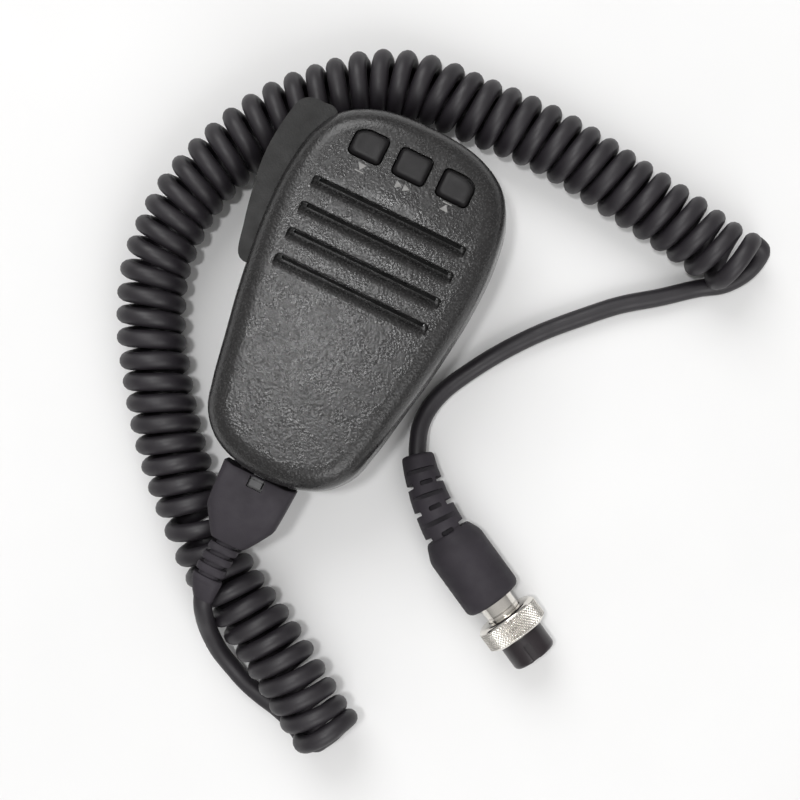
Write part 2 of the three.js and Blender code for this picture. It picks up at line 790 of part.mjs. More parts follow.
function modularPlug() {
  const [w, h] = PLUG_SIZE;
  const body = block([JACK_X - w / 2, -60, JACK_Z - h / 2], [JACK_X + w / 2, -37, JACK_Z + h / 2]);
  const latch = prismX(
    [
      [-41, 25.5],
      [-41, 26.8],
      [-54.7, 28.1],
      [-54.7, 28.9],
      [-56.5, 28.9],
      [-56.5, 27.4],
      [-47, 26.3],
      [-43.6, 25.9],
      [-43, 25.5],
    ],
    1.7,
  ).translate(JACK_X, 0, 0);
  const nose = block([JACK_X - 3.6, -38.6, JACK_Z - h], [JACK_X + 3.6, -36, JACK_Z - h / 2 + 1]);
  return carve(body, [latch], [nose]);
}

// ---------------------------------------------------------------- hang-up button and screws

function hangButton() {
  const shank = 7;
  return turnedZ(
    [
      [1.7, 2.4],
      [3.1, 0.5],
      [3.1, 0],
      [HANG_HEAD_RADIUS - 0.4, 0],
      [HANG_HEAD_RADIUS, 0.4],
      [HANG_HEAD_RADIUS, HANG_HEAD_THICKNESS - 0.3],
      [HANG_HEAD_RADIUS - 0.3, HANG_HEAD_THICKNESS],
      [HANG_NECK_RADIUS, HANG_HEAD_THICKNESS + 0.3],
      [HANG_NECK_RADIUS, REAR_Z - GAP],
      [1.9, REAR_Z - GAP],
      [1.9, shank],
      [1.7, shank],
      [1.7, 2.4],
    ],
    28,
  ).translate(0, HANG_Y, 0);
}

function hangScrew() {
  const profile = [
    [0, 0.3],
    [2.6, 0.3],
    [2.6, 0.7],
    [1.3, 2.2],
    [1.3, 10.5],
    [0, 10.9],
  ];
  const driver = post(0.9, 0, 0, 0, 1.2, 6);
  return carve(turnedZ(profile, 20), [], [driver]).translate(0, HANG_Y, 0);
}

function hangNut() {
  const body = post(3.2, 0, 0, REAR_Z + WALL + GAP, REAR_Z + WALL + 2.7, 6);
  return carve(body, [], [post(1.6, 0, 0, 5, 12, 14)]).translate(0, HANG_Y, 0);
}

function caseScrew({ x, y, head }) {
  const profile = [
    [0, 0],
    [SCREW_HEAD_RADIUS - 0.5, 0],
    [SCREW_HEAD_RADIUS, 0.6],
    [SCREW_HEAD_RADIUS, SCREW_HEAD_HEIGHT],
    [SCREW_SHANK_RADIUS, SCREW_HEAD_HEIGHT],
    [SCREW_SHANK_RADIUS, SCREW_LENGTH - 1],
    [0, SCREW_LENGTH],
  ];
  const slots = [
    block([-1.4, -0.3, -1], [1.4, 0.3, 0.9]),
    block([-0.3, -1.4, -1], [0.3, 1.4, 0.9]),
  ];
  return carve(turnedZ(profile, 14), [], slots).translate(x, y, head);
}

// ---------------------------------------------------------------- cord

// Centre line of the curly part, from the microphone end to the connector end.
const COIL_ROUTE = [
  [44.2, -110.2],
  [38.2, -106.4],
  [28.1, -100.1],
  [17.2, -94.2],
  [7, -88.9],
  [-2.9, -82.6],
  [-14.3, -72.8],
  [-22.6, -64.9],
  [-30.4, -56.4],
  [-36.6, -48.6],
  [-42.2, -40.6],
  [-47.2, -33.2],
  [-51.8, -24],
  [-55.2, -14.5],
  [-56.4, -4],
  [-56.2, 6],
  [-54.3, 15.2],
  [-51.2, 24],
  [-47.6, 32.2],
  [-43.4, 39.4],
  [-37.9, 46.4],
  [-31.2, 53],
  [-24.2, 59.3],
  [-15.9, 63.8],
  [-6.5, 66.3],
  [5.3, 66.9],
  [17.4, 67.8],
  [29.6, 68.2],
  [41.4, 67.4],
  [53, 65.9],
  [64.5, 64.5],
  [75.9, 63],
  [84.6, 61.4],
];

// The tail from the strain relief over the coil, down to the table and round into the coil's end.
const MIC_TAIL = [
  [-2.1, -92.6, 23.5],
  [-1.9, -94, 23.1],
  [-0.6, -97, 20.6],
  [1.8, -100.2, 16.4],
  [5.2, -104, 11.4],
  [9.8, -107.8, 6.6],
  [15.6, -111, 3.6],
  [22, -113.6, TABLE_Z],
  [29.2, -116.6, TABLE_Z],
  [36.4, -119.2, TABLE_Z],
  [43.4, -121, 2.8],
  [49.8, -120.4, 4],
  [53.4, -117.6, 6.4],
  [52, -114.9, 9.2],
  [48.4, -112.8, 10],
  [44.9, -110.6, 10],
];

// The tail from the coil's other end, round and back along the table to the connector's relief.
const PLUG_TAIL = [
  [88.2, 60.75, 10],
  [92, 61.4, 9.4],
  [96, 62.6, 7.2],
  [98.3, 61.6, 4.6],
  [97.6, 58.6, TABLE_Z],
  [94.4, 55.2, TABLE_Z],
  [88.6, 50.2, TABLE_Z],
  [79.6, 42.9, TABLE_Z],
  [69.9, 35.6, TABLE_Z],
  [61.2, 27.2, TABLE_Z],
  [52.6, 18.1, TABLE_Z],
  [44.8, 8, TABLE_Z],
  [38.9, -1.4, TABLE_Z],
  [34.8, -9.4, 2.8],
  [33, -16.4, 3.5],
  [33.2, -22.2, 4.7],
  [35.4, -28.5, 6],
];

function fatCoil() {
  return tube(
    COIL_ROUTE.map(([x, y]) => [x, y, COIL_Z]),
    COIL_RADIUS,
    10,
    34,
  );
}

// ---------------------------------------------------------------- microphone-end boot

// A section across +Y: a rectangle with bevelled corners, or an ellipse where bevel is 1.
function bootSection({ y, x, z, width, height, bevel }) {
  const w = width / 2;
  const h = height / 2;
  const points = [];
  const corner = [
    [w, h - bevel],
    [w - bevel * 0.3, h - bevel * 0.3],
    [w - bevel, h],
  ];
  for (const [sx, sz, order] of [
    [1, 1, 1],
    [-1, 1, -1],
    [-1, -1, 1],
    [1, -1, -1],
  ]) {
    const run = order > 0 ? corner : [...corner].reverse();
    for (const [a, b] of run) points.push(new THREE.Vector3(x + sx * a, y, z + sz * b));
  }
  return points;
}

const BOOT_BLOCK = [
  { y: -55.3, x: -1.1, z: 22.5, width: 21.8, height: 12.2, bevel: 2.8 },
  { y: -66, x: -1.1, z: 22.5, width: 20.4, height: 12.2, bevel: 3 },
  { y: -70, x: -1.15, z: 22.85, width: 15.6, height: 9.9, bevel: 2.8 },
  { y: -74, x: -1.3, z: 23.1, width: 10.4, height: 7.6, bevel: 2.4 },
];

const RELIEF_PATH = [
  [-1.3, -74, 23.1],
  [-2.0, -78, 23.8],
  [-2.5, -82, 24.1],
  [-2.7, -87, 24.2],
  [-2.2, -91.8, 23.6],
];
const RELIEF_RIBS = 4;
const RELIEF_RIB_PITCH = 3.2;
const RELIEF_GROOVE = 1.1;

function micBoot() {
  const rings = BOOT_BLOCK.map(bootSection);
  const path = new THREE.CatmullRomCurve3(RELIEF_PATH.map((p) => new THREE.Vector3(...p)));
  const length = path.getLength();
  const addRing = (along, width, height) => {
    const at = path.getPointAt(Math.min(1, along / length));
    rings.push(bootSection({ y: at.y, x: at.x, z: at.z, width, height, bevel: height * 0.36 }));
  };
  let along = 0.2;
  for (let i = 0; i < RELIEF_RIBS; i++) {
    addRing(along, 6.4, 5.6);
    addRing(along + RELIEF_GROOVE, 6.4, 5.6);
    addRing(along + RELIEF_GROOVE + 0.05, 8.6, 7.2);
    addRing(along + RELIEF_RIB_PITCH - 0.05, 8.6, 7.2);
    along += RELIEF_RIB_PITCH;
  }
  addRing(length - 2.5, 7.4, 6.6);
  addRing(length, 6, 5.8);
  const [w, h] = PLUG_SIZE;
  const socket = block(
    [JACK_X - w / 2 - GAP, -60 - GAP, JACK_Z - h / 2 - GAP],
    [JACK_X + w / 2 + GAP, -54, JACK_Z + h / 2 + GAP],
  );
  const latchRoom = block([JACK_X - 2.3, -57.2, JACK_Z], [JACK_X + 2.3, -54, 30]);
  return carve(loft(rings), [], [socket, latchRoom]);
}

// ---------------------------------------------------------------- connector

// The connector's own frame has +Y along its axis, towards the mating end.
// Centre line of the segmented relief in that frame, from the boot back to the cord.
const SEGMENT_PATH = [
  [0, -15, 0],
  [-0.4, -19, -0.1],
  [-1.1, -23, -0.4],
  [-2, -27.2, -1],
  [-3.2, -31, -1.7],
  [-4.6, -35.2, -2.5],
  [-6.5, -39.5, -3.3],
];
const SEGMENT_RADIUS = 6.4;
const SEGMENT_TAPER = 1.7;
const SEGMENT_CUTS = 6;
const SEGMENT_FIRST_CUT = 0.085; // of the relief's length
const SEGMENT_CUT_PITCH = 0.145; // of the relief's length

function connectorBoot() {
  const body = turnedY(
    [
      [0, -17],
      [6.2, -17],
      [6.9, -16.2],
      [8.4, -13],
      [8.8, -11.6],
      [8.8, 4.6],
      [8.3, 6.2],
      [7.4, 6.9],
      [0, 6.9],
    ],
    28,
  );
  const path = new THREE.CatmullRomCurve3(SEGMENT_PATH.map((p) => new THREE.Vector3(...p)));
  const section = (share) => {
    const at = path.getPointAt(share);
    const along = path.getTangentAt(share);
    const side = new THREE.Vector3().crossVectors(along, new THREE.Vector3(0, 0, 1)).normalize();
    const up = new THREE.Vector3().crossVectors(side, along);
    return { at, along, side, up, radius: SEGMENT_RADIUS - SEGMENT_TAPER * share };
  };
  const steps = 8;
  const sides = 12;
  const rings = [];
  for (let i = 0; i <= steps; i++) {
    const { at, side, up, radius } = section(i / steps);
    const points = [];
    for (let k = 0; k < sides; k++) {
      const angle = (2 * Math.PI * k) / sides;
      const point = at.clone().addScaledVector(side, radius * Math.cos(angle));
      points.push(point.addScaledVector(up, radius * Math.sin(angle)));
    }
    rings.push(points);
  }
  const cuts = [turnedY([[0, -1.3], [5.35, -1.3], [5.35, 9], [0, 9]], 20)];
  for (let i = 0; i < SEGMENT_CUTS; i++) {
    const { at, along, side, up, radius } = section(SEGMENT_FIRST_CUT + SEGMENT_CUT_PITCH * i);
    // Cuts from opposite sides, turned a quarter turn from one station to the next.
    for (const sign of [-1, 1]) {
      const across = i % 2 === 0 ? side : up;
      const other = i % 2 === 0 ? up : side;
      const cutter = new THREE.BoxGeometry(12, 1.2, 4);
      const turn = new THREE.Matrix4().makeBasis(other, along, across);
      const place = at.clone().addScaledVector(across, sign * (radius + 0.5));
      cuts.push(cutter.applyMatrix4(turn.setPosition(place)));
    }
  }
  return carve(body, [loft(rings)], cuts);
}

function connectorBarrel() {
  return turnedY(
    [
      [3.6, -1],
      [BARREL_RADIUS, -1],
      [BARREL_RADIUS, 20.6],
      [3.6, 20.6],
      [3.6, -1],
    ],
    24,
  );
}

function couplingNut() {
  const [rear, front] = NUT_Y;
  return turnedY(
    [
      [5.35, rear],
      [7.4, rear],
      [NUT_RADIUS, rear + 1.7],
      [NUT_RADIUS, front - 1.7],
      [7.5, front],
      [7.2, front],
      [7.2, rear + 1.4],
      [5.35, rear + 1.4],
      [5.35, rear],
    ],
    32,
  );
}

function nutRing() {
  const base = NUT_Y[0] + 1.4 + GAP;
  return turnedY(
    [
      [5.35, base],
      [6.9, base],
      [6.9, base + 0.8],
      [5.35, base + 0.8],
      [5.35, base],
    ],
    20,
  );
}

function contactPlace(i) {
  if (i === 0) return [0, 0];
  const angle = Math.PI / 2 + (2 * Math.PI * (i - 0.5)) / (CONTACTS - 1);
  return [CONTACT_CIRCLE * Math.cos(angle), CONTACT_CIRCLE * Math.sin(angle)];
}

function contact(i) {
  const [x, z] = contactPlace(i);
  return turnedY(
    [
      [0, 21.4],
      [0.75, 21.4],
      [0.75, 26.6],
      [0.45, 26.6],
      [0.45, 23],
      [0, 23],
    ],
    8,
  ).translate(x, 0, z);
}

function connectorInsert() {
  const [rear, front] = INSERT_Y;
  const body = turnedY(
    [
      [0, rear],
      [INSERT_RADIUS, rear],
      [INSERT_RADIUS, front - 0.6],
      [INSERT_RADIUS - 0.5, front],
      [0, front],
    ],
    28,
  );
  const socket = turnedY(
    [
      [3.3, rear - 1],
      [5.35, rear - 1],
      [5.35, rear + 1.9],
      [3.3, rear + 1.9],
      [3.3, rear - 1],
    ],
    20,
  );
  const cuts = [socket, block([-1.1, rear + 2.6, INSERT_RADIUS - 1.1], [1.1, front + 1, INSERT_RADIUS + 2])];
  for (let i = 0; i < CONTACTS; i++) {
    const [x, z] = contactPlace(i);
    const hole = new THREE.CylinderGeometry(1.05, 1.05, 7, 10);
    cuts.push(hole.translate(x, front - 2.5, z));
  }
  return carve(body, [], cuts);
}

// ---------------------------------------------------------------- assembly

const microphone = new THREE.Group();
const casing = new THREE.Group();
casing.position.x = CASE_X;
microphone.add(casing);

const connector = new THREE.Group();
connector.position.set(...CONNECTOR_AT, CONNECTOR_Z);
connector.rotation.z = THREE.MathUtils.degToRad(CONNECTOR_TURN);
casing.add(connector);

function place(group, name, geometry, material) {
  const mesh = new THREE.Mesh(geometry, material);
  mesh.name = name;
  group.add(mesh);
}

place(casing, "front_cover", frontCover(), caseplastic);
place(casing, "rear_cover", rearCover(), caseplastic);
for (const screw of CASE_SCREWS) place(casing, `case_screw_${screw.name}`, caseScrew(screw), steel);

for (const key of KEYS) {
  const plunger = post(TACT_PLUNGER_RADIUS, key.x, KEY_Y, ...TACT_PLUNGER_Z, 14);
  place(casing, `button_${key.name}`, keyCap(key), keyRubber);
  place(casing, `tact_plunger_${key.name}`, plunger, blackPlastic);
  place(casing, `tact_switch_${key.name}`, tactSwitch(key), blackPlastic);
}
place(casing, "button_board", buttonBoard(), boardGreen);
BUTTON_BOARD_SCREWS.forEach((x, i) => {
  place(casing, `button_board_screw_${i + 1}`, buttonBoardScrew(x), steel);
});

place(casing, "ptt_lever", pttLever(), caseplastic);
place(casing, "ptt_pivot_pin", pivotPin(), steel);
place(casing, "ptt_torsion_spring", torsionSpring(), steel);
place(casing, "ptt_switch", pttSwitch(), blackPlastic);
place(casing, "ptt_switch_plunger", pttPlunger(), keyRubber);

place(casing, "acoustic_screen", acousticScreen(), foam);
place(casing, "capsule_gasket", ring(12.5, 16.4, 29.9, 32.8).translate(0, CAPSULE_Y, 0), foam);
place(casing, "microphone_capsule", capsule(), steel);
place(casing, "capsule_lead_left", capsuleLead(-1), blackPlastic);
place(casing, "capsule_lead_right", capsuleLead(1), finish(0x9c2a22, 0.5));

place(casing, "main_board", mainBoard(), boardGreen);
[-1, 1].forEach((side, i) => {
  place(casing, `main_board_screw_${i + 1}`, mainBoardScrew(side), steel);
});
place(casing, "ribbon_cable", ribbonCable(), clearPlastic);
place(casing, "preamplifier_chip", preampChip(), blackPlastic);
place(casing, "coupling_capacitor", couplingCapacitor(), finish(0x2a3a60, 0.5));
place(casing, "tone_switch", toneSwitch(), steel);
place(casing, "tone_slider", toneSlider(), blackPlastic);
place(casing, "modular_jack", modularJack(), blackPlastic);
place(casing, "modular_plug", modularPlug(), clearPlastic);

place(casing, "hang_button", hangButton(), nickel);
place(casing, "hang_button_screw", hangScrew(), steel);
place(casing, "hang_button_nut", hangNut(), brass);

place(casing, "mic_boot", micBoot(), bootRubber);
place(casing, "cord_tail_microphone", tube(MIC_TAIL, CORD_RADIUS, 8, 22), cordRubber);
place(casing, "curly_cord", fatCoil(), cordRubber);
place(casing, "cord_tail_connector", tube(PLUG_TAIL, CORD_RADIUS, 8, 34), cordRubber);

place(connector, "connector_boot", connectorBoot(), bootRubber);
place(connector, "connector_barrel", connectorBarrel(), nickel);
place(connector, "nut_ring", nutRing(), steel);
place(connector, "coupling_nut", couplingNut(), nickel);
place(connector, "connector_insert", connectorInsert(), blackPlastic);
for (let i = 0; i < CONTACTS; i++) {
  place(connector, `socket_contact_${i + 1}`, contact(i), brass);
}

export default microphone;
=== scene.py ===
"""Looks of a hand microphone with a curly cord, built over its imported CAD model.

Sizes are written in millimetres in the case's own frame, whose origin lies under the middle of the
case. The row frame's origin is CASE_X to the left of it, because the talk lever juts out on that side.
"""

import json
import math
import random

import bmesh
import bpy
import numpy as np
from mathutils import Matrix, Vector


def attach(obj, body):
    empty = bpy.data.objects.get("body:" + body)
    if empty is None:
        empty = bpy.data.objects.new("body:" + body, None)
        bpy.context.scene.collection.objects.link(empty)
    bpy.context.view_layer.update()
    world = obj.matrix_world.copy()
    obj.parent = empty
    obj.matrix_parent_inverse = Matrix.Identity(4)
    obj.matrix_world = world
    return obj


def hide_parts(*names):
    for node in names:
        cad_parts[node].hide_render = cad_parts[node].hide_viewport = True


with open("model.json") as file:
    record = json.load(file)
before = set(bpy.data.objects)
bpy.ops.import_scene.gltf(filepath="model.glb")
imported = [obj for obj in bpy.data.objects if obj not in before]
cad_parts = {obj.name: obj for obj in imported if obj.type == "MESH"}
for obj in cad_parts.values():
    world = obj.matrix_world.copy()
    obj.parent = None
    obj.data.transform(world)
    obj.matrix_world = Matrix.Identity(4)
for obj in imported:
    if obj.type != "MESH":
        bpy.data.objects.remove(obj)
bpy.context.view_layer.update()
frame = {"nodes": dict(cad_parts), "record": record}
nodes = frame["nodes"]
random.seed(7)

# ------------------------------------------------------------------ sizes shared with the CAD part

MM_PER_M = 1000
SHARP_ANGLE, CAD_SHARP_ANGLE = 35, 30
GAP = 0.3
CASE_X = 1.95
REAR_Z = 5.0
SEAM_Z = 19.5
FACE_Z = 38.0
WALL = 2.2
OUTLINE_HALF = [
    (0, 54),
    (15, 52.4),
    (25, 47),
    (30, 38.9),
    (32.2, 27),
    (32.2, 12),
    (29.9, -8),
    (27.4, -22),
    (25.2, -34),
    (22.6, -43),
    (17, -49.4),
    (9, -52.9),
    (0, -54),
]
FRONT_DRAFT = 0.9
FRONT_EDGE = 6.5
REAR_INSET = 11.0
CROWN_X, CROWN_HALF_WIDTH = 1.0, 28.0
CROWN_TOP, CROWN_CORD = 1.6, 1.2
CROWN_MIDDLE_Y, CROWN_HALF_LENGTH = 5.0, 49.0
SLOT_TOPS = (27, 19.25, 11.5, 3.75)
SLOT_HALF_LENGTH = 22.8
KEYS = (("down", -13.0, -1), ("fast", 0.0, 0), ("up", 13.0, 1))
KEY_Y = 40.3
JACK_X, JACK_Z = -1.1, 22.5
CORD_RADIUS = 2.6
COIL_Z = 10.0
TURN_RADIUS = 7.35
TURN_PITCH = 6.0
TABLE_Z = CORD_RADIUS + 0.02
CONNECTOR_AT = (67.8, -53.9)
CONNECTOR_TURN = math.radians(-118)
CONNECTOR_Z = 9.5

COIL_ROUTE = [
    (44.2, -110.2),
    (38.2, -106.4),
    (28.1, -100.1),
    (17.2, -94.2),
    (7, -88.9),
    (-2.9, -82.6),
    (-14.3, -72.8),
    (-22.6, -64.9),
    (-30.4, -56.4),
    (-36.6, -48.6),
    (-42.2, -40.6),
    (-47.2, -33.2),
    (-51.8, -24),
    (-55.2, -14.5),
    (-56.4, -4),
    (-56.2, 6),
    (-54.3, 15.2),
    (-51.2, 24),
    (-47.6, 32.2),
    (-43.4, 39.4),
    (-37.9, 46.4),
    (-31.2, 53),
    (-24.2, 59.3),
    (-15.9, 63.8),
    (-6.5, 66.3),
    (5.3, 66.9),
    (17.4, 67.8),
    (29.6, 68.2),
    (41.4, 67.4),
    (53, 65.9),
    (64.5, 64.5),
    (75.9, 63),
    (84.6, 61.4),
]
MIC_TAIL = [
    (-1.0, -90.4, 23.4),
    (-0.3, -92.4, 22.7),
    (1.2, -95.4, 20.1),
    (4.1, -100.0, 14.3),
    (9.1, -105.2, 8.3),
    (14.5, -108.7, 4.5),
    (20.4, -111.5, 2.8),
    (26.3, -113.1, TABLE_Z),
    (31.0, -114.0, TABLE_Z),
    (35.2, -115.2, TABLE_Z),
    (39.2, -117.0, TABLE_Z),
    (43.0, -118.9, TABLE_Z),
    (46.2, -118.6, 2.9),
    (47.6, -116.2, 4.4),
]
PLUG_TAIL = [
    (99.2, 67.2, 8),
    (99.9, 64.1, 5),
    (99.2, 60.8, 3.2),
    (97.3, 57.4, TABLE_Z),
    (94.4, 54.1, TABLE_Z),
    (88.6, 50.2, TABLE_Z),
    (79.6, 42.9, TABLE_Z),
    (69.9, 35.6, TABLE_Z),
    (61.2, 27.2, TABLE_Z),
    (52.6, 18.1, TABLE_Z),
    (44.8, 8, TABLE_Z),
    (38.9, -1.4, TABLE_Z),
    (34.8, -9.4, 2.8),
    (33, -16.4, 3.5),
    (33.2, -22.2, 4.7),
    (35.4, -28.5, 6),
    (36.2, -30.0, 6.25),
]
RELIEF_PATH = [
    (-1.3, -74, 23.1),
    (-1.8, -78, 23.7),
    (-2.1, -82, 24.0),
    (-1.8, -87, 24.0),
    (-0.7, -91.3, 23.2),
]

# ------------------------------------------------------------------ points and curves


def metres(p):
    """A point in millimetres in the case's frame, as metres in the row frame."""
    return ((p[0] + CASE_X) / MM_PER_M, p[1] / MM_PER_M, p[2] / MM_PER_M)


def connector_point(p):
    """A point in the connector's frame, +Y along its axis, in the case's frame."""
    c, s = math.cos(CONNECTOR_TURN), math.sin(CONNECTOR_TURN)
    return (
        CONNECTOR_AT[0] + p[0] * c - p[1] * s,
        CONNECTOR_AT[1] + p[0] * s + p[1] * c,
        CONNECTOR_Z + p[2],
    )


def smooth_curve(points, steps, closed=False):
    """Centripetal Catmull-Rom curve through the points, steps samples a span."""
    pts = [np.array(p, float) for p in points]
    if closed:
        pts = [pts[-1], *pts, pts[0], pts[1]]
    else:
        pts = [2 * pts[0] - pts[1], *pts, 2 * pts[-1] - pts[-2]]
    out = []
    for i in range(1, len(pts) - 2):
        p0, p1, p2, p3 = pts[i - 1 : i + 3]
        t0 = 0.0
        t1 = t0 + np.linalg.norm(p1 - p0) ** 0.5
        t2 = t1 + np.linalg.norm(p2 - p1) ** 0.5
        t3 = t2 + np.linalg.norm(p3 - p2) ** 0.5
        for t in np.linspace(t1, t2, steps, endpoint=False):
            a1 = (t1 - t) / (t1 - t0) * p0 + (t - t0) / (t1 - t0) * p1
            a2 = (t2 - t) / (t2 - t1) * p1 + (t - t1) / (t2 - t1) * p2
            a3 = (t3 - t) / (t3 - t2) * p2 + (t - t2) / (t3 - t2) * p3
            b1 = (t2 - t) / (t2 - t0) * a1 + (t - t0) / (t2 - t0) * a2
            b2 = (t3 - t) / (t3 - t1) * a2 + (t - t1) / (t3 - t1) * a3
            out.append((t2 - t) / (t2 - t1) * b1 + (t - t1) / (t2 - t1) * b2)
    if not closed:
        out.append(pts[-2])
    return np.array(out)


def spaced(line, count, closed=False):
    """The polyline resampled to count points an equal length apart."""
    if closed:
        line = np.vstack([line, line[:1]])
    steps = np.linalg.norm(np.diff(line, axis=0), axis=1)
    along = np.concatenate([[0], np.cumsum(steps)])
    at = np.linspace(0, along[-1], count, endpoint=not closed)
    return np.column_stack([np.interp(at, along, line[:, k]) for k in range(line.shape[1])])


def inward_of(loop):
    """At each point of a clockwise closed line, the unit vector that points into it."""
    along = np.roll(loop, -1, axis=0) - np.roll(loop, 1, axis=0)
    along /= np.linalg.norm(along, axis=1)[:, None]
    return np.column_stack([along[:, 1], -along[:, 0]])


def length_of(line):
    return float(np.linalg.norm(np.diff(np.array(line), axis=0), axis=1).sum())


# ------------------------------------------------------------------ meshes

SAME_POINT = 1e-7


def mesh_piece(name, points, faces, to_case=None):
    """A mesh object from points in millimetres, in the case's frame or moved there by to_case."""
    if to_case:
        points = [to_case(p) for p in points]
    mesh = bpy.data.meshes.new(name)
    mesh.from_pydata([metres(p) for p in points], [], faces)
    mesh.validate()
    edit = bmesh.new()
    edit.from_mesh(mesh)
    bmesh.ops.remove_doubles(edit, verts=edit.verts, dist=SAME_POINT)
    bmesh.ops.recalc_face_normals(edit, faces=edit.faces)
    edit.to_mesh(mesh)
    edit.free()
    piece = bpy.data.objects.new(name, mesh)
    bpy.context.scene.collection.objects.link(piece)
    return piece


def shade(piece, angle=SHARP_ANGLE):
    """Smooth shading, with an edge kept sharp where its faces meet at more than angle."""
    mesh = piece.data
    mesh.polygons.foreach_set("use_smooth", [True] * len(mesh.polygons))
    mesh.set_sharp_from_angle(angle=math.radians(angle))


def loft(name, rings, to_case=None, closed=False):
    """A solid through rings of points; its ends are capped, or joined to each other if closed."""
    count = len(rings[0])
    points = [tuple(p) for ring in rings for p in ring]
    faces = []
    spans = len(rings) if closed else len(rings) - 1
    for r in range(spans):
        a, b = r * count, ((r + 1) % len(rings)) * count
        for i in range(count):
            j = (i + 1) % count
            faces.append((a + i, a + j, b + j, b + i))
    if not closed:
        last = (len(rings) - 1) * count
        faces.append(tuple(reversed(range(count))))
        faces.append(tuple(range(last, last + count)))
    return mesh_piece(name, points, faces, to_case)


def turned(name, profile, sides=96, to_case=None, axis="y"):
    """A solid turned about an axis from (radius, height) points; it closes on itself or on the axis."""
    on_axis = profile[0][0] == 0
    body = profile[1:-1] if on_axis else profile
    rings = []
    for radius, height in body:
        ring = []
        for k in range(sides):
            a = 2 * math.pi * k / sides
            x, z = radius * math.cos(a), radius * math.sin(a)
            ring.append((x, height, z) if axis == "y" else (x, z, height))
        rings.append(ring)
    if not on_axis:
        return loft(name, rings, to_case, closed=True)
    points = [p for ring in rings for p in ring]
    faces = []
    for r in range(len(rings) - 1):
        for k in range(sides):
            j = (k + 1) % sides
            faces.append((r * sides + k, r * sides + j, (r + 1) * sides + j, (r + 1) * sides + k))
    for height, r in ((profile[0][1], 0), (profile[-1][1], len(rings) - 1)):
        points.append((0, height, 0) if axis == "y" else (0, 0, height))
        centre = len(points) - 1
        faces += [(r * sides + k, r * sides + (k + 1) % sides, centre) for k in range(sides)]
    return mesh_piece(name, points, faces, to_case)


def box_piece(name, low, high, to_case=None):
    (x0, y0, z0), (x1, y1, z1) = low, high
    ring = [(x0, y0), (x1, y0), (x1, y1), (x0, y1)]
    return loft(name, [[(x, y, z) for x, y in ring] for z in (z0, z1)], to_case)


def post(name, radius, x, y, z0, z1, sides=48):
    piece = turned(name, [(0, z0), (radius, z0), (radius, z1), (0, z1)], sides, axis="z")
    piece.data.transform(Matrix.Translation((x / MM_PER_M, y / MM_PER_M, 0)))
    return piece


def combine(piece, others, operation):
    """piece with each of the others joined to it, cut out of it or kept in common, which are used up."""
    for other in others:
        modifier = piece.modifiers.new("combine", "BOOLEAN")
        modifier.operation = operation
        modifier.solver = "MANIFOLD"
        modifier.object = other
    bpy.context.view_layer.update()
    solved = piece.evaluated_get(bpy.context.evaluated_depsgraph_get())
    made = bpy.data.meshes.new_from_object(solved)
    piece.modifiers.clear()
    piece.data = made
    for other in others:
        bpy.data.objects.remove(other)
    return piece


def rounded_polygon(corners, radius, steps=8):
    """The corners' polygon with each corner rounded, by less on sides too short for the radius."""
    points = []
    count = len(corners)
    for i in range(count):
        here = np.array(corners[i], float)
        before = np.array(corners[i - 1], float) - here
        after = np.array(corners[(i + 1) % count], float) - here
        reach = min(radius, 0.45 * np.linalg.norm(before), 0.45 * np.linalg.norm(after))
        start = here + before / np.linalg.norm(before) * reach
        end = here + after / np.linalg.norm(after) * reach
        for t in np.linspace(0, 1, steps):
            points.append((1 - t) ** 2 * start + 2 * t * (1 - t) * here + t * t * end)
    return np.array(points)


# ------------------------------------------------------------------ materials

# Painted shade: where the grain attribute falls in this range the colour is darkened to this share, which
# puts shade into the louvre grooves.
GROOVE_SHADE_RANGE, GROOVE_SHADE_SHARE = (0.15, 0.34), 0.3
# Painted shade: the pointiness range taken as hollows and how dark they are painted.
HOLLOW_SHADE_RANGE, HOLLOW_SHADE_SHARE = (0.42, 0.5), 0.12
# Painted glints: the range of noise that becomes light spots in the colour.
GLINT_RANGE = (0.5, 0.75)
ROUGH_SPREAD = 0.14
CELL_SIZE, CELL_SHARE = 1.6, 0.6
PRINT_RELIEF = 0.03


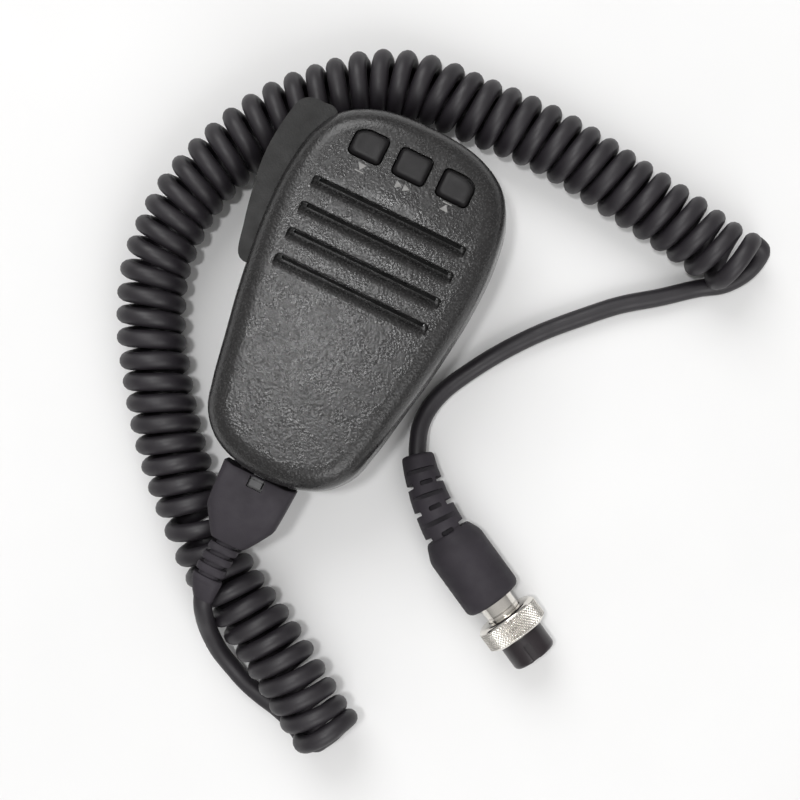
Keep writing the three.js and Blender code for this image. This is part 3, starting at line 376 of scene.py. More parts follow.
def surface(name, color, rough, metal=0.0, tint=0.12, patch=9.0, grain=0.0, size=0.3, depth=0.03,
            specular=0.5, painted_glint=0.0, hollow_shade=0.0, grain_mask_and_shade=False):
    """A moulded, woven or plated surface. Lengths are in millimetres.

    tint: how much the colour varies over patches of the given size; grain: how strong the small relief
    is, with its size and depth; painted_glint: how much lighter the painted glints are, light spots in
    the colour that stand in for the sparkle of the relief; hollow_shade: how much painted shade darkens
    the hollows, found by pointiness; grain_mask_and_shade: the relief fades with the mesh's grain
    attribute, and where that attribute is low the colour is darkened, painted shade."""
    material = bpy.data.materials.new(name)
    material.use_nodes = True
    tree = material.node_tree
    tree.nodes.clear()
    add = tree.nodes.new
    link = tree.links.new
    out = add("ShaderNodeOutputMaterial")
    shader = add("ShaderNodeBsdfPrincipled")
    link(shader.outputs["BSDF"], out.inputs["Surface"])
    place = add("ShaderNodeTexCoord")

    def noise(feature, detail=3.0):
        node = add("ShaderNodeTexNoise")
        node.inputs["Scale"].default_value = MM_PER_M / feature
        node.inputs["Detail"].default_value = detail
        link(place.outputs["Object"], node.inputs["Vector"])
        return node.outputs["Fac"]

    def spread(value, low, high, start=0.3, end=0.7):
        node = add("ShaderNodeMapRange")
        node.inputs["From Min"].default_value = start
        node.inputs["From Max"].default_value = end
        node.inputs["To Min"].default_value = low
        node.inputs["To Max"].default_value = high
        link(value, node.inputs["Value"])
        return node.outputs["Result"]

    def mixed(share, first, second):
        node = add("ShaderNodeMix")
        node.data_type = "RGBA"
        link(share, node.inputs["Factor"])
        for socket, value in ((node.inputs[6], first), (node.inputs[7], second)):
            if hasattr(value, "type"):
                link(value, socket)
            else:
                socket.default_value = (*value, 1)
        return node.outputs[2]

    dark = [c * (1 - tint) for c in color]
    light = [min(1, c * (1 + tint)) for c in color]
    tone = mixed(spread(noise(patch), 0, 1), dark, light)
    # Painted shade: where the grain attribute is low, as in the louvre grooves, the colour is darkened.
    if grain_mask_and_shade:
        grain_and_shade_mask = add("ShaderNodeAttribute")
        grain_and_shade_mask.attribute_name = "grain"
        unshaded = spread(grain_and_shade_mask.outputs["Fac"], 0, 1, *GROOVE_SHADE_RANGE)
        tone = mixed(unshaded, [c * GROOVE_SHADE_SHARE for c in color], tone)
    # Painted shade: the hollows, found by pointiness, are darkened, as in the nut's knurl.
    if hollow_shade:
        geometry = add("ShaderNodeNewGeometry")
        hollow_shade_mask = spread(geometry.outputs["Pointiness"], hollow_shade, 0, *HOLLOW_SHADE_RANGE)
        tone = mixed(hollow_shade_mask, tone, [c * HOLLOW_SHADE_SHARE for c in color])
    # Painted glints: light spots in the colour stand in for the sparkle of the relief.
    if painted_glint:
        glint_spots = spread(noise(size * 0.9, 1.0), 0, 1, *GLINT_RANGE)
        tone = mixed(glint_spots, tone, [c + painted_glint for c in color])
    link(tone, shader.inputs["Base Color"])
    sheen = spread(noise(patch * 0.4, 5), rough * (1 - ROUGH_SPREAD), min(1, rough * (1 + ROUGH_SPREAD)))
    link(sheen, shader.inputs["Roughness"])
    shader.inputs["Metallic"].default_value = metal
    shader.inputs["Specular IOR Level"].default_value = specular
    if grain:
        height = noise(size, 2.0)
        cells = add("ShaderNodeTexVoronoi")
        cells.inputs["Scale"].default_value = MM_PER_M / (size * CELL_SIZE)
        link(place.outputs["Object"], cells.inputs["Vector"])
        blend = add("ShaderNodeMath")
        blend.operation = "MULTIPLY_ADD"
        link(cells.outputs["Distance"], blend.inputs[0])
        blend.inputs[1].default_value = CELL_SHARE
        link(height, blend.inputs[2])
        relief = blend.outputs[0]
        if grain_mask_and_shade:
            times = add("ShaderNodeMath")
            times.operation = "MULTIPLY"
            link(relief, times.inputs[0])
            link(grain_and_shade_mask.outputs["Fac"], times.inputs[1])
            relief = times.outputs[0]
        bump = add("ShaderNodeBump")
        bump.inputs["Strength"].default_value = grain
        bump.inputs["Distance"].default_value = depth / MM_PER_M
        link(relief, bump.inputs["Height"])
        link(bump.outputs["Normal"], shader.inputs["Normal"])
    return material


LOOKS = {
    # The case's colour carries painted shade in its louvre grooves and painted glints over its face.
    "case_plastic": surface("case_plastic", (0.0115, 0.011, 0.0112), 0.27, grain=1.0, size=0.55,
                            depth=0.12, grain_mask_and_shade=True, specular=0.5, painted_glint=0.03),
    "lever_plastic": surface("lever_plastic", (0.009, 0.0088, 0.0086), 0.5, grain=0.8, size=0.45,
                             depth=0.08, specular=0.3),
    "key_rubber": surface("key_rubber", (0.0075, 0.0068, 0.0075), 0.55, grain=0.5, size=0.35, depth=0.03,
                          specular=0.35),
    "boot_rubber": surface("boot_rubber", (0.026, 0.0224, 0.028), 0.66, grain=0.6, size=0.5, depth=0.035,
                           specular=0.3),
    "cord_jacket": surface("cord_jacket", (0.0135, 0.0113, 0.0145), 0.5, patch=14, grain=0.35, size=0.6,
                           depth=0.03),
    "black_plastic": surface("black_plastic", (0.02, 0.02, 0.021), 0.45, grain=0.3),
    "insert_plastic": surface("insert_plastic", (0.016, 0.0115, 0.014), 0.34, grain=0.4, size=0.4),
    "plug_plastic": surface("plug_plastic", (0.06, 0.06, 0.062), 0.45, grain=0.1, specular=0.3),
    # The nickel's hollows, such as the knurl's grooves, get painted shade.
    "nickel": surface("nickel", (0.78, 0.75, 0.7), 0.16, metal=1.0, tint=0.04, grain=0.15, size=0.8,
                      depth=0.01, hollow_shade=0.5),
    "steel": surface("steel", (0.56, 0.56, 0.57), 0.32, metal=1.0, tint=0.08, grain=0.3, size=0.3,
                     depth=0.01),
    "capsule_can": surface("capsule_can", (0.6, 0.6, 0.58), 0.35, metal=1.0, grain=0.3, size=0.5,
                           depth=0.01),
    "brass": surface("brass", (0.75, 0.56, 0.27), 0.28, metal=1.0, tint=0.08, grain=0.2, size=0.3,
                     depth=0.01),
    "circuit_board": surface("circuit_board", (0.02, 0.13, 0.06), 0.4, tint=0.2, grain=0.3, size=0.4),
    "screen_cloth": surface("screen_cloth", (0.008, 0.008, 0.008), 0.9, grain=1.0, size=0.25, depth=0.1),
    "gasket_foam": surface("gasket_foam", (0.02, 0.02, 0.02), 0.95, grain=1.0, size=0.5, depth=0.15),
    "lead_black": surface("lead_black", (0.02, 0.02, 0.02), 0.4, grain=0.2),
    "lead_red": surface("lead_red", (0.4, 0.02, 0.015), 0.4, grain=0.2),
    "ribbon": surface("ribbon", (0.4, 0.4, 0.42), 0.5, grain=0.4, size=1.2, depth=0.05),
    "capacitor_sleeve": surface("capacitor_sleeve", (0.02, 0.03, 0.15), 0.3, grain=0.1),
}
PRINT = surface("key_symbol_print", (0.2, 0.197, 0.192), 0.6, tint=0.2, patch=0.8, grain=0.4, size=0.2)

for entry in frame["record"]["subparts"]:
    cad_mesh = nodes[entry["node"]].data
    cad_mesh.materials.clear()
    cad_mesh.materials.append(LOOKS[entry["material_slot"]])
    shade(nodes[entry["node"]], CAD_SHARP_ANGLE)


def finish_piece(piece, look, body="case", replaced=(), angle=SHARP_ANGLE):
    """A visual piece given its look, its shading, the body it rides on and the CAD nodes it stands for."""
    piece.data.materials.clear()
    piece.data.materials.append(LOOKS[look])
    if piece.type == "MESH":
        shade(piece, angle)
    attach(piece, body)
    if replaced:
        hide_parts(*replaced)
    return piece


# ------------------------------------------------------------------ camera

VIEW_AT = (24.4, -17.45)
VIEW_HEIGHT = 420.0
VIEW_HALF = 117.8
VIEW_ROLL = math.radians(26)
SENSOR_WIDTH = 36

camera_data = bpy.data.cameras.new("camera")
camera_data.sensor_width = SENSOR_WIDTH
camera_data.lens = SENSOR_WIDTH / 2 * VIEW_HEIGHT / VIEW_HALF
camera = bpy.data.objects.new("camera", camera_data)
camera.location = metres((*VIEW_AT, VIEW_HEIGHT))
camera.rotation_euler = (0, 0, VIEW_ROLL)
bpy.context.scene.collection.objects.link(camera)
bpy.context.scene.camera = camera

# ------------------------------------------------------------------ cord

TURN_STEPS = 28
ROUTE_STEPS, ROUTE_POINTS = 12, 1400
LAST_TURNS = [(90.4, 60.6), (95.2, 60.4)]
FIRST_TURN = (49.2, -112.6)
RAISED_END, RAISE_FROM, RAISE_TO = 3.5, 16.0, 40.0
OPEN_AT, OPEN_WIDTH, OPEN_SHARE = 72.0, 3.6, 0.42
END_OPEN_WIDTH, END_OPEN_SHARE = 9, 0.12
RIPPLE_LENGTHS, RIPPLE_SHARES = (5.3, 11.7, 23), (0.008, 0.016)
MISSING_TURN = 0.25
JOIN_POINTS, TAIL_STEPS = 3, 8
LEAST_STEP = 0.05


def helix():
    """Centre line of the curly part: a left-handed helix that lies on the table along the route."""
    route = [FIRST_TURN, *COIL_ROUTE, *LAST_TURNS]
    line = spaced(smooth_curve([(x, y, COIL_Z) for x, y in route], ROUTE_STEPS), ROUTE_POINTS)
    total = length_of(line)
    along = np.linspace(0, total, len(line))
    # The first turns lie on the tail that runs back under them.
    rise = np.clip((RAISE_TO - along) / (RAISE_TO - RAISE_FROM), 0, 1)
    line[:, 2] += RAISED_END * rise * rise * (3 - 2 * rise)
    # The turns stand apart beside the strain relief and a little at the far end.
    density = 1 - OPEN_SHARE * np.exp(-(((along - OPEN_AT) / OPEN_WIDTH) ** 2))
    density *= 1 - END_OPEN_SHARE * np.exp(-(((along - total) / END_OPEN_WIDTH) ** 2))
    density *= 1 + sum(
        random.uniform(*RIPPLE_SHARES) * np.sin(along / k + random.uniform(0, 6)) for k in RIPPLE_LENGTHS
    )
    steps = (density[1:] + density[:-1]) / 2 * np.diff(along)
    turned_so_far = np.concatenate([[0], np.cumsum(steps)])
    turns = round(turned_so_far[-1] / TURN_PITCH) - MISSING_TURN
    turned_so_far *= turns / turned_so_far[-1]
    points = []
    tangents = np.gradient(line, axis=0)
    for k in range(int(turns * TURN_STEPS) + 1):
        turn = k / TURN_STEPS
        at = np.interp(turn, turned_so_far, along)
        centre = [np.interp(at, along, line[:, a]) for a in range(3)]
        heading = np.array([np.interp(at, along, tangents[:, a]) for a in range(2)])
        heading /= np.linalg.norm(heading)
        left = np.array([-heading[1], heading[0]])
        angle = -math.pi / 2 - 2 * math.pi * turn
        out, up = TURN_RADIUS * math.cos(angle), TURN_RADIUS * math.sin(angle)
        points.append((centre[0] + left[0] * out, centre[1] + left[1] * out, centre[2] + up))
    return points


coil = helix()
joined_steps = TAIL_STEPS * (JOIN_POINTS - 1)
start_part = smooth_curve([*MIC_TAIL, *coil[:JOIN_POINTS]], TAIL_STEPS)[:-joined_steps]
end_part = smooth_curve([*coil[-JOIN_POINTS:], *PLUG_TAIL], TAIL_STEPS)[joined_steps:]
cord_line = np.vstack([start_part[:-1], np.array(coil), end_part[1:]])
keep = np.concatenate([[True], np.linalg.norm(np.diff(cord_line, axis=0), axis=1) > LEAST_STEP])
cord_line = cord_line[keep]

cord_curve = bpy.data.curves.new("cord", "CURVE")
cord_curve.dimensions = "3D"
cord_curve.bevel_depth = CORD_RADIUS / MM_PER_M
cord_curve.bevel_resolution = 5
cord_curve.use_fill_caps = True
spline = cord_curve.splines.new("POLY")
spline.points.add(len(cord_line) - 1)
for point, p in zip(spline.points, cord_line):
    point.co = (*metres(p), 1)
spline.use_smooth = True
cord = bpy.data.objects.new("curly_cord_strand", cord_curve)
bpy.context.scene.collection.objects.link(cord)
finish_piece(cord, "cord_jacket", replaced=("cord_tail_microphone", "curly_cord", "cord_tail_connector"))

# ------------------------------------------------------------------ case

OUTLINE_COUNT = 320
right_side = [(x, y, 0.0) for x, y in OUTLINE_HALF]
left_side = [(-x, y, 0.0) for x, y, _ in right_side[-2:0:-1]]
OUTLINE = spaced(smooth_curve(right_side + left_side, 24, closed=True), OUTLINE_COUNT, closed=True)[:, :2]
INWARD = inward_of(OUTLINE)


def face_height(x, y):
    """The crowned face's height; it falls away more towards the key end than towards the cord."""
    fall = np.where(y > CROWN_MIDDLE_Y, CROWN_TOP, CROWN_CORD)
    across = CROWN_X * (x / CROWN_HALF_WIDTH) ** 2
    return FACE_Z - across - fall * ((y - CROWN_MIDDLE_Y) / CROWN_HALF_LENGTH) ** 2


def lifted(flat, height):
    """Flat points at a height that may be a function of x and y."""
    z = height(flat[:, 0], flat[:, 1]) if callable(height) else np.full(len(flat), height)
    return np.column_stack([flat, z])


def ring(inset, height):
    """The outline moved in by inset."""
    return lifted(OUTLINE + INWARD * inset, height)


def shrink(base, share, height):
    """A ring drawn together towards the middle of the case."""
    return lifted(base[:, :2] * share, height)


def front_skin(offset, steps, shares):
    """Rings of the front cover's skin from its rim to its face, moved in by offset."""
    radius = FRONT_EDGE - offset
    rings = [ring(offset, SEAM_Z)]
    for i in range(steps + 1):
        angle = math.pi / 2 * i / steps
        inset = offset + FRONT_DRAFT + radius * (1 - math.cos(angle))
        drop = offset + radius * (1 - math.sin(angle))
        rings.append(ring(inset, lambda x, y, d=drop: face_height(x, y) - d))
    last = rings[-1]
    rings += [shrink(last, s, lambda x, y: face_height(x, y) - offset) for s in shares]
    return rings


def rear_skin(offset, steps, shares):
    """Rings of the rear cover's skin from its rim to its back, moved in by offset."""
    rim = SEAM_Z - GAP
    depth = rim - REAR_Z - offset
    reach = REAR_INSET - offset
    rings = []
    for i in range(steps + 1):
        angle = math.pi / 2 * i / steps
        rings.append(ring(offset + reach * (1 - math.cos(angle)), rim - depth * math.sin(angle)))
    last = rings[-1]
    return rings + [shrink(last, s, REAR_Z + offset) for s in shares]


FACE_SHARES = (0.97, 0.93, 0.88, 0.82, 0.75, 0.67, 0.58, 0.48, 0.37, 0.25, 0.12)
GROOVE = [
    (0.45, 1.0),
    (0.45, 0.03),
    (0.16, -0.08),
    (0.02, -0.3),
    (0.0, -1.6),
    (-1.1, -1.6),
    (-1.8, -1.2),
    (-2.6, -0.62),
    (-3.3, -0.2),
    (-3.9, -0.01),
    (-4.2, 0.03),
    (-4.2, 1.0),
]

GROOVE_END = [-0.5, 0.0, 0.15, 0.4, 0.8, 1.3, 2.0]
GROOVE_END_LENGTH, GROOVE_END_WIDTH, GROOVE_END_LIFT = 1.6, 0.55, 0.03
GROOVE_MIDDLE = 1.2
SLIT_HALF_LENGTH = 21.2
KEY_OPENING, KEY_OPENING_CORNER = (10, 8.5), 1.9
CASE_SCREWS = [(-16, 47, 11.2), (16, 47, 11.2), (-14, -41, 8.2), (14, -41, 8.2)]
BOSS_RADIUS, SCREW_HEAD_RADIUS, SCREW_RADIUS = 3.9, 2.9, 1.6
HANG_BUTTON_Y, HANG_SCREW_RADIUS = 18, 2.1
EDGE_FADE, EDGE_GRAIN = 7, 0.35
KEY_AREA_Y, KEY_AREA_GRAIN = 30, 0.62
# The grooves' low value also darkens their colour: painted shade.
GROOVE_GRAIN_AND_SHADE = 0.2
SYMBOL_Y, SYMBOL_SCALE = 34.2, 1.15


def groove_cutter(top):
    """The cutter of one louvre, deepest under its sharp upper edge, running out at its rounded ends."""
    rings = []
    stations = np.concatenate(
        [
            -SLOT_HALF_LENGTH + np.array(GROOVE_END),
            np.linspace(-20, 20, 33),
            SLOT_HALF_LENGTH - np.array(GROOVE_END[::-1]),
        ]
    )
    for x in stations:
        from_end = max(0.0, SLOT_HALF_LENGTH - abs(x))
        share = min(1.0, from_end / GROOVE_END_LENGTH)
        depth = math.sqrt(1 - (1 - share) ** 2)
        section = []
        for y, z in GROOVE:
            width = GROOVE_END_WIDTH + (1 - GROOVE_END_WIDTH) * depth
            py = top - GROOVE_MIDDLE + (y + GROOVE_MIDDLE) * width
            pz = z if z > 0 else z * max(depth, 0.01) + GROOVE_END_LIFT * (1 - depth)
            section.append((x, py, float(face_height(x, py)) + pz))
        rings.append(section)
    return loft("cutter", rings)


def key_outline(x, slope, size, radius):
    """A key's outline from above; the outer keys are cut off towards the case's corners."""
    w, h = size[0] / 2, size[1] / 2
    if slope == 0:
        corners = [(w, -h), (w, h), (-w, h), (-w, -h)]
    else:
        cut = min(1.0, size[0] / 9)
        corners = [(w, -h), (w, h), (-w + 3.0 * cut, h), (-w, h - 1.7 * cut), (-w, -h)]
        if slope > 0:
            corners = [(-a, b) for a, b in reversed(corners)]
    return rounded_polygon(corners, radius) + np.array([x, KEY_Y])


def cord_opening():
    return box_piece("cutter", (JACK_X - 6.6, -56, JACK_Z - 4.7), (JACK_X + 6.6, -46, JACK_Z + 4.7))


def latch_opening():
    return box_piece("cutter", (JACK_X - 2.4, -56, JACK_Z), (JACK_X + 2.4, -46, JACK_Z + 7))


def lever_window():
    return box_piece("cutter", (-40, -0.55, SEAM_Z - GAP), (-22.2, 45.6, 31.5))


def mark_grain_and_shade(piece):
    """The face's relief fades over its edge; it is weaker round the keys and weakest in the grooves. Where
    the value is low the case's colour is darkened: painted shade in the louvre grooves, and the walls at the
    key end come out darker too.
    """
    mesh = piece.data
    points = np.empty(len(mesh.vertices) * 3)
    mesh.vertices.foreach_get("co", points)
    points = points.reshape(-1, 3) * MM_PER_M
    x, y, z = points[:, 0] - CASE_X, points[:, 1], points[:, 2]
    below = face_height(x, y) - z
    strength = np.clip(1 - below / EDGE_FADE, EDGE_GRAIN, 1)
    strength *= np.where(y > KEY_AREA_Y, KEY_AREA_GRAIN, 1.0)
    louvres = (np.abs(x) < SLOT_HALF_LENGTH + 0.5) & (y > -1) & (y < 28)
    # Painted shade: this low value also darkens the grooves' colour as well as weakening their relief.
    strength[louvres & (below > 0.25) & (below < 3)] = GROOVE_GRAIN_AND_SHADE
    attribute = mesh.attributes.new("grain", "FLOAT", "POINT")
    attribute.data.foreach_set("value", strength.astype(np.float32))


def front_cover():
    inner = front_skin(WALL, 6, (0.75, 0.5, 0.25))
    outer = front_skin(0, 14, FACE_SHARES)
    cover = loft("front_shell", [*reversed(inner), *outer])
    cutters = [lever_window(), cord_opening(), latch_opening()]
    for top in SLOT_TOPS:
        cutters.append(groove_cutter(top))
        low, high = (-SLIT_HALF_LENGTH, top - 0.95, 30), (SLIT_HALF_LENGTH, top - 0.02, 37.2)
        cutters.append(box_piece("cutter", low, high))
    for _, x, slope in KEYS:
        opening = key_outline(x, slope, KEY_OPENING, KEY_OPENING_CORNER)
        cutters.append(loft("cutter", [[(px, py, z) for px, py in opening] for z in (30, 40)]))
    combine(cover, cutters, "DIFFERENCE")
    mark_grain_and_shade(cover)
    finish_piece(cover, "case_plastic", replaced=("front_cover",))


def rear_cover():
    rim = SEAM_Z - GAP
    inner = rear_skin(WALL, 10, (0.75, 0.5, 0.25))[1:]
    outer = rear_skin(0, 16, (0.9, 0.7, 0.45, 0.2))
    tongue = [ring(2.5, rim), ring(2.6, rim + 1.8), ring(3.4, rim + 1.8), ring(3.4, rim - 1)]
    cover = loft("rear_shell", [*reversed(outer), *tongue, *inner])
    bosses = []
    for x, y, _ in CASE_SCREWS:
        hull = loft("hull", [*reversed(rear_skin(0.05, 16, (0.5,))), ring(0.05, rim)])
        bosses.append(combine(post("boss", BOSS_RADIUS, x, y, 5.8, rim), [hull], "INTERSECT"))
    combine(cover, bosses, "UNION")
    cutters = [lever_window(), cord_opening()]
    for x, y, head in CASE_SCREWS:
        cutters.append(post("cutter", SCREW_HEAD_RADIUS, x, y, 3, head + 2.1))
        cutters.append(post("cutter", SCREW_RADIUS, x, y, 3, 22))
    cutters.append(post("cutter", HANG_SCREW_RADIUS, 0, HANG_BUTTON_Y, 3, 10))
    cutters.append(box_piece("cutter", (-3.3, -15.7, 3), (3.3, -12.3, 9)))
    combine(cover, cutters, "DIFFERENCE")
    mark_grain_and_shade(cover)
    finish_piece(cover, "case_plastic", replaced=("rear_cover",))


LEVER_EDGE = [
    (-30.9, 0),
    (-33.2, 8),
    (-34.9, 16),
    (-36.1, 24),
    (-36.3, 29),
    (-35.9, 35),
    (-34.9, 41),
    (-34.2, 43.3),
    (-32.4, 44.5),
    (-29.8, 44.5),
    (-26.8, 44.4),
    (-28.0, 38),
    (-29.1, 28),
    (-29.3, 16),
    (-28.6, 7),
    (-27.6, 0),
    (-29.2, 0),
]

LEVER_POINTS = 220
LEVER_PROFILE = [
    (20.2, 1.2),
    (20.4, 0.8),
    (20.9, 0.4),
    (21.6, 0.1),
    (22.6, 0),
    (27.6, 0),
    (28.6, 0.1),
    (29.5, 0.4),
    (30.2, 0.9),
    (30.7, 1.5),
    (31.0, 2.0),
]


def lever():
    """The talk lever, a little wider at its upper and lower edges than between them."""
    line = smooth_curve([(x, y, 0) for x, y in LEVER_EDGE], 12, closed=True)
    edge = spaced(line, LEVER_POINTS, closed=True)[:, :2]
    outward = -inward_of(edge)
    rings = [lifted(edge + outward * flare, z) for z, flare in LEVER_PROFILE]
    finish_piece(loft("talk_lever", rings), "lever_plastic", body="lever", replaced=("ptt_lever",))


def key(name, x, slope):
    """A face key: a flange behind the face, a stem through it and a dished, soft-edged top."""
    face = float(face_height(x, KEY_Y))
    top = face + 1.0
    levels = [
        ((11.4, 9.6), 1.6, 33.1),
        ((11.4, 9.6), 1.6, 33.9),
        ((9.3, 7.8), 1.6, 33.9),
        ((9.3, 7.8), 1.6, face - 0.7),
        ((9.1, 7.6), 1.6, face - 0.25),
        ((8.2, 6.7), 1.5, face + 0.45),
        ((7.9, 6.4), 1.5, face + 0.75),
        ((7.5, 6.0), 1.4, top - 0.1),
        ((6.9, 5.4), 1.3, top),
        ((5.5, 4.2), 1.1, top - 0.05),
        ((3.0, 2.2), 0.8, top - 0.1),
    ]
    rings = [[(px, py, z) for px, py in key_outline(x, slope, size, radius)] for size, radius, z in levels]
    piece = loft(f"key_{name}", rings)
    finish_piece(piece, "key_rubber", body=f"button_{name}", replaced=(f"button_{name}",), angle=50)


def symbol(name, x, shapes):
    """Flat printed shapes on the face below a key."""
    points, faces = [], []
    for shape in shapes:
        base = len(points)
        for dx, dy in shape:
            px, py = x + SYMBOL_SCALE * dx, SYMBOL_Y + SYMBOL_SCALE * dy
            points.append((px, py, float(face_height(px, py)) + PRINT_RELIEF))
        faces.append(tuple(range(base, base + len(shape))))
    piece = mesh_piece(f"symbol_{name}", points, faces)
    piece.data.materials.append(PRINT)
    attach(piece, "case")


front_cover()
rear_cover()
lever()
for key_name, key_x, key_slope in KEYS:
    key(key_name, key_x, key_slope)
symbol(
    "down",
    -12.4,
    [[(-1.1, 0.8), (1.1, 0.8), (0, -0.8)], [(-1.1, -1.0), (-1.1, -1.3), (1.1, -1.3), (1.1, -1.0)]],
)
symbol("fast", 0.2, [[(-2.0, -0.9), (-0.4, 0), (-2.0, 0.9)], [(0.0, -0.9), (1.6, 0), (0.0, 0.9)]])
symbol(
    "up",
    12.6,
    [[(-1.1, -0.8), (0, 0.8), (1.1, -0.8)], [(-1.1, 1.3), (-1.1, 1.0), (1.1, 1.0), (1.1, 1.3)]],
)

# ------------------------------------------------------------------ microphone-end boot


def boot_ring(at, width, height, bevel, steps=6):
    """A section across the boot: a rectangle with rounded corners."""
    w, h = width / 2, height / 2
    corners = [(w, -h), (w, h), (-w, h), (-w, -h)]
    flat = rounded_polygon(corners, bevel, steps)
    return [(at[0] + a, at[1], at[2] + b) for a, b in flat]


RELIEF_POINTS = 200
RELIEF_RIBS, RIB_PITCH = 4, 3.2
RIB_SECTIONS = [
    (0, 6.0, 5.4),
    (1.0, 6.0, 5.4),
    (1.12, 8.3, 7.0),
    (1.5, 8.7, 7.4),
    (2.7, 8.7, 7.4),
    (3.08, 8.3, 7.0),
]
END_CURVE = 0.0135


def mic_boot():
    """The boot on the plug: a flat body that narrows to a ribbed strain relief."""
    sections = [
        ((-1.1, -54.5, 22.5), 21.3, 11.7, 2.6),
        ((-1.1, -54.9, 22.5), 21.9, 12.2, 2.8),
        ((-1.1, -61, 22.5), 21.1, 12.2, 2.9),
        ((-1.1, -65.6, 22.5), 20.4, 12.1, 3.0),
        ((-1.1, -66.4, 22.55), 19.9, 11.8, 3.0),
        ((-1.15, -70, 22.85), 15.6, 9.9, 2.9),
        ((-1.25, -73.2, 23.05), 11.4, 8.1, 2.9),
        ((-1.3, -74, 23.1), 10.0, 7.4, 2.9),
    ]
    rings = [boot_ring(at, w, h, b) for at, w, h, b in sections]
    # The end that faces the case follows the case's curve.
    for k in (0, 1):
        rings[k] = [(x, y + END_CURVE * (x - JACK_X) ** 2, z) for x, y, z in rings[k]]
    path = spaced(smooth_curve(RELIEF_PATH, 20), RELIEF_POINTS)
    total = length_of(path)

    def add(along, width, height):
        at = path[int(min(1, along / total) * (RELIEF_POINTS - 1))]
        rings.append(boot_ring(at, width, height, height * 0.5))

    at = 0.1
    for _ in range(RELIEF_RIBS):
        for step, width, height in RIB_SECTIONS:
            add(at + step, width, height)
        at += RIB_PITCH
    for along, width, height in [(at + 0.1, 8.3, 7.1), (at + 1.6, 7.5, 6.8), (at + 3.2, 6.6, 6.3)]:
        add(along, width, height)
    add(total - 0.5, 5.9, 5.9)
    add(total, 5.5, 5.5)
    boot = loft("plug_boot", rings)
    socket = box_piece("cutter", (JACK_X - 6.15, -60.3, JACK_Z - 4.3), (JACK_X + 6.15, -54, JACK_Z + 4.3))
    latch = box_piece("cutter", (JACK_X - 2.3, -57.2, JACK_Z), (JACK_X + 2.3, -54, 30))
    combine(boot, [socket, latch], "DIFFERENCE")
    return finish_piece(boot, "boot_rubber", replaced=("mic_boot",), angle=40)


# ------------------------------------------------------------------ connector

SEGMENT_PATH = [
    (0, -15, 0),
    (-0.4, -19, -0.1),
    (-1.1, -23, -0.4),
    (-2, -27.2, -1),
    (-3.2, -31, -1.7),
    (-4.6, -35.2, -2.5),
    (-6.5, -39.5, -3.3),
]
SEGMENT_RADIUS, SEGMENT_TAPER = 6.4, 1.7
SEGMENT_CUTS, SEGMENT_FIRST_CUT, SEGMENT_CUT_PITCH = 6, 0.085, 0.145
SEGMENT_POINTS = 181
SEGMENT_END = {0.985: 0.12, 0.995: 0.35, 1.0: 0.7}
CUT_CORNER, CUT_CORNER_STEPS = 0.9, 5
BARREL_HOLE = 5.35


def slot_cutter(middle, other, across, along, half_length, half_depth, half_width):
    """A slot with rounded ends, cut inwards along across."""
    corners = rounded_polygon(
        [
            (half_length, -half_width),
            (half_length, half_width),
            (-half_length, half_width),
            (-half_length, -half_width),
        ],
        half_width * CUT_CORNER,
        CUT_CORNER_STEPS,
    )
    rings = []
    for c in (-half_depth, half_depth):
        rings.append([tuple(middle + other * a + along * b + across * c) for a, b in corners])
    return loft("cutter", rings, connector_point)


def connector_boot():
    """The boot behind the nut, with a segmented strain relief that bends towards the cord."""
    profile = [
        (0, -16.9),
        (6.1, -16.9),
        (6.5, -16.7),
        (7.0, -16.0),
        (8.2, -13.4),
        (8.6, -12.4),
        (8.78, -11.2),
        (8.8, -9.5),
        (8.8, 5.0),
        (8.7, 5.7),
        (8.4, 6.3),
        (7.9, 6.75),
        (7.3, 6.9),
        (0, 6.9),
    ]
    boot = turned("connector_boot_body", profile, 96, connector_point)
    path = spaced(smooth_curve(SEGMENT_PATH, 20), SEGMENT_POINTS)
    tangents = np.gradient(path, axis=0)
    tangents /= np.linalg.norm(tangents, axis=1)[:, None]

    def section(share):
        k = int(share * (SEGMENT_POINTS - 1))
        side = np.cross(tangents[k], (0, 0, 1))
        side /= np.linalg.norm(side)
        radius = SEGMENT_RADIUS - SEGMENT_TAPER * share
        return path[k], tangents[k], side, np.cross(side, tangents[k]), radius

    rings = []
    angles = np.linspace(0, 2 * math.pi, 48, endpoint=False)
    for share in (*np.linspace(0, 0.97, 36), *SEGMENT_END):
        at, _, side, up, radius = section(share)
        radius -= SEGMENT_END.get(share, 0)
        rings.append([tuple(at + radius * (math.cos(a) * side + math.sin(a) * up)) for a in angles])
    combine(boot, [loft("relief", rings, connector_point)], "UNION")
    hole = [(0, -1.3), (BARREL_HOLE, -1.3), (BARREL_HOLE, 9), (0, 9)]
    cutters = [turned("cutter", hole, 64, connector_point)]
    for i in range(SEGMENT_CUTS):
        at, along, side, up, radius = section(SEGMENT_FIRST_CUT + SEGMENT_CUT_PITCH * i)
        for sign in (-1, 1):
            if i % 2 == 0:
                edge = at + side * sign * (radius + 0.6)
                cutters.append(slot_cutter(edge, up, side, along, 6.0, 2.4, 0.75))
                top = at + up * sign * (radius + 0.6) + side * 0.6
                cutters.append(slot_cutter(top, side, up, along, 1.9, 3.2, 0.72))
            else:
                top = at + up * sign * (radius + 0.6)
                cutters.append(slot_cutter(top, side, up, along, 0.82 * radius, 3.4, 0.7))
    combine(boot, cutters, "DIFFERENCE")
    return finish_piece(boot, "boot_rubber", replaced=("connector_boot",), angle=40)


NUT_REAR, NUT_FRONT, NUT_RADIUS, NUT_BORE = 11.8, 19.3, 9.5, 7.2
KNURL_TEETH, KNURL_SIDES, KNURL_RINGS = 56, 560, 56
KNURL_PITCH, KNURL_DEPTH, KNURL_FADE, KNURL_FLAT = 1.07, 0.34, 0.2, 1.5


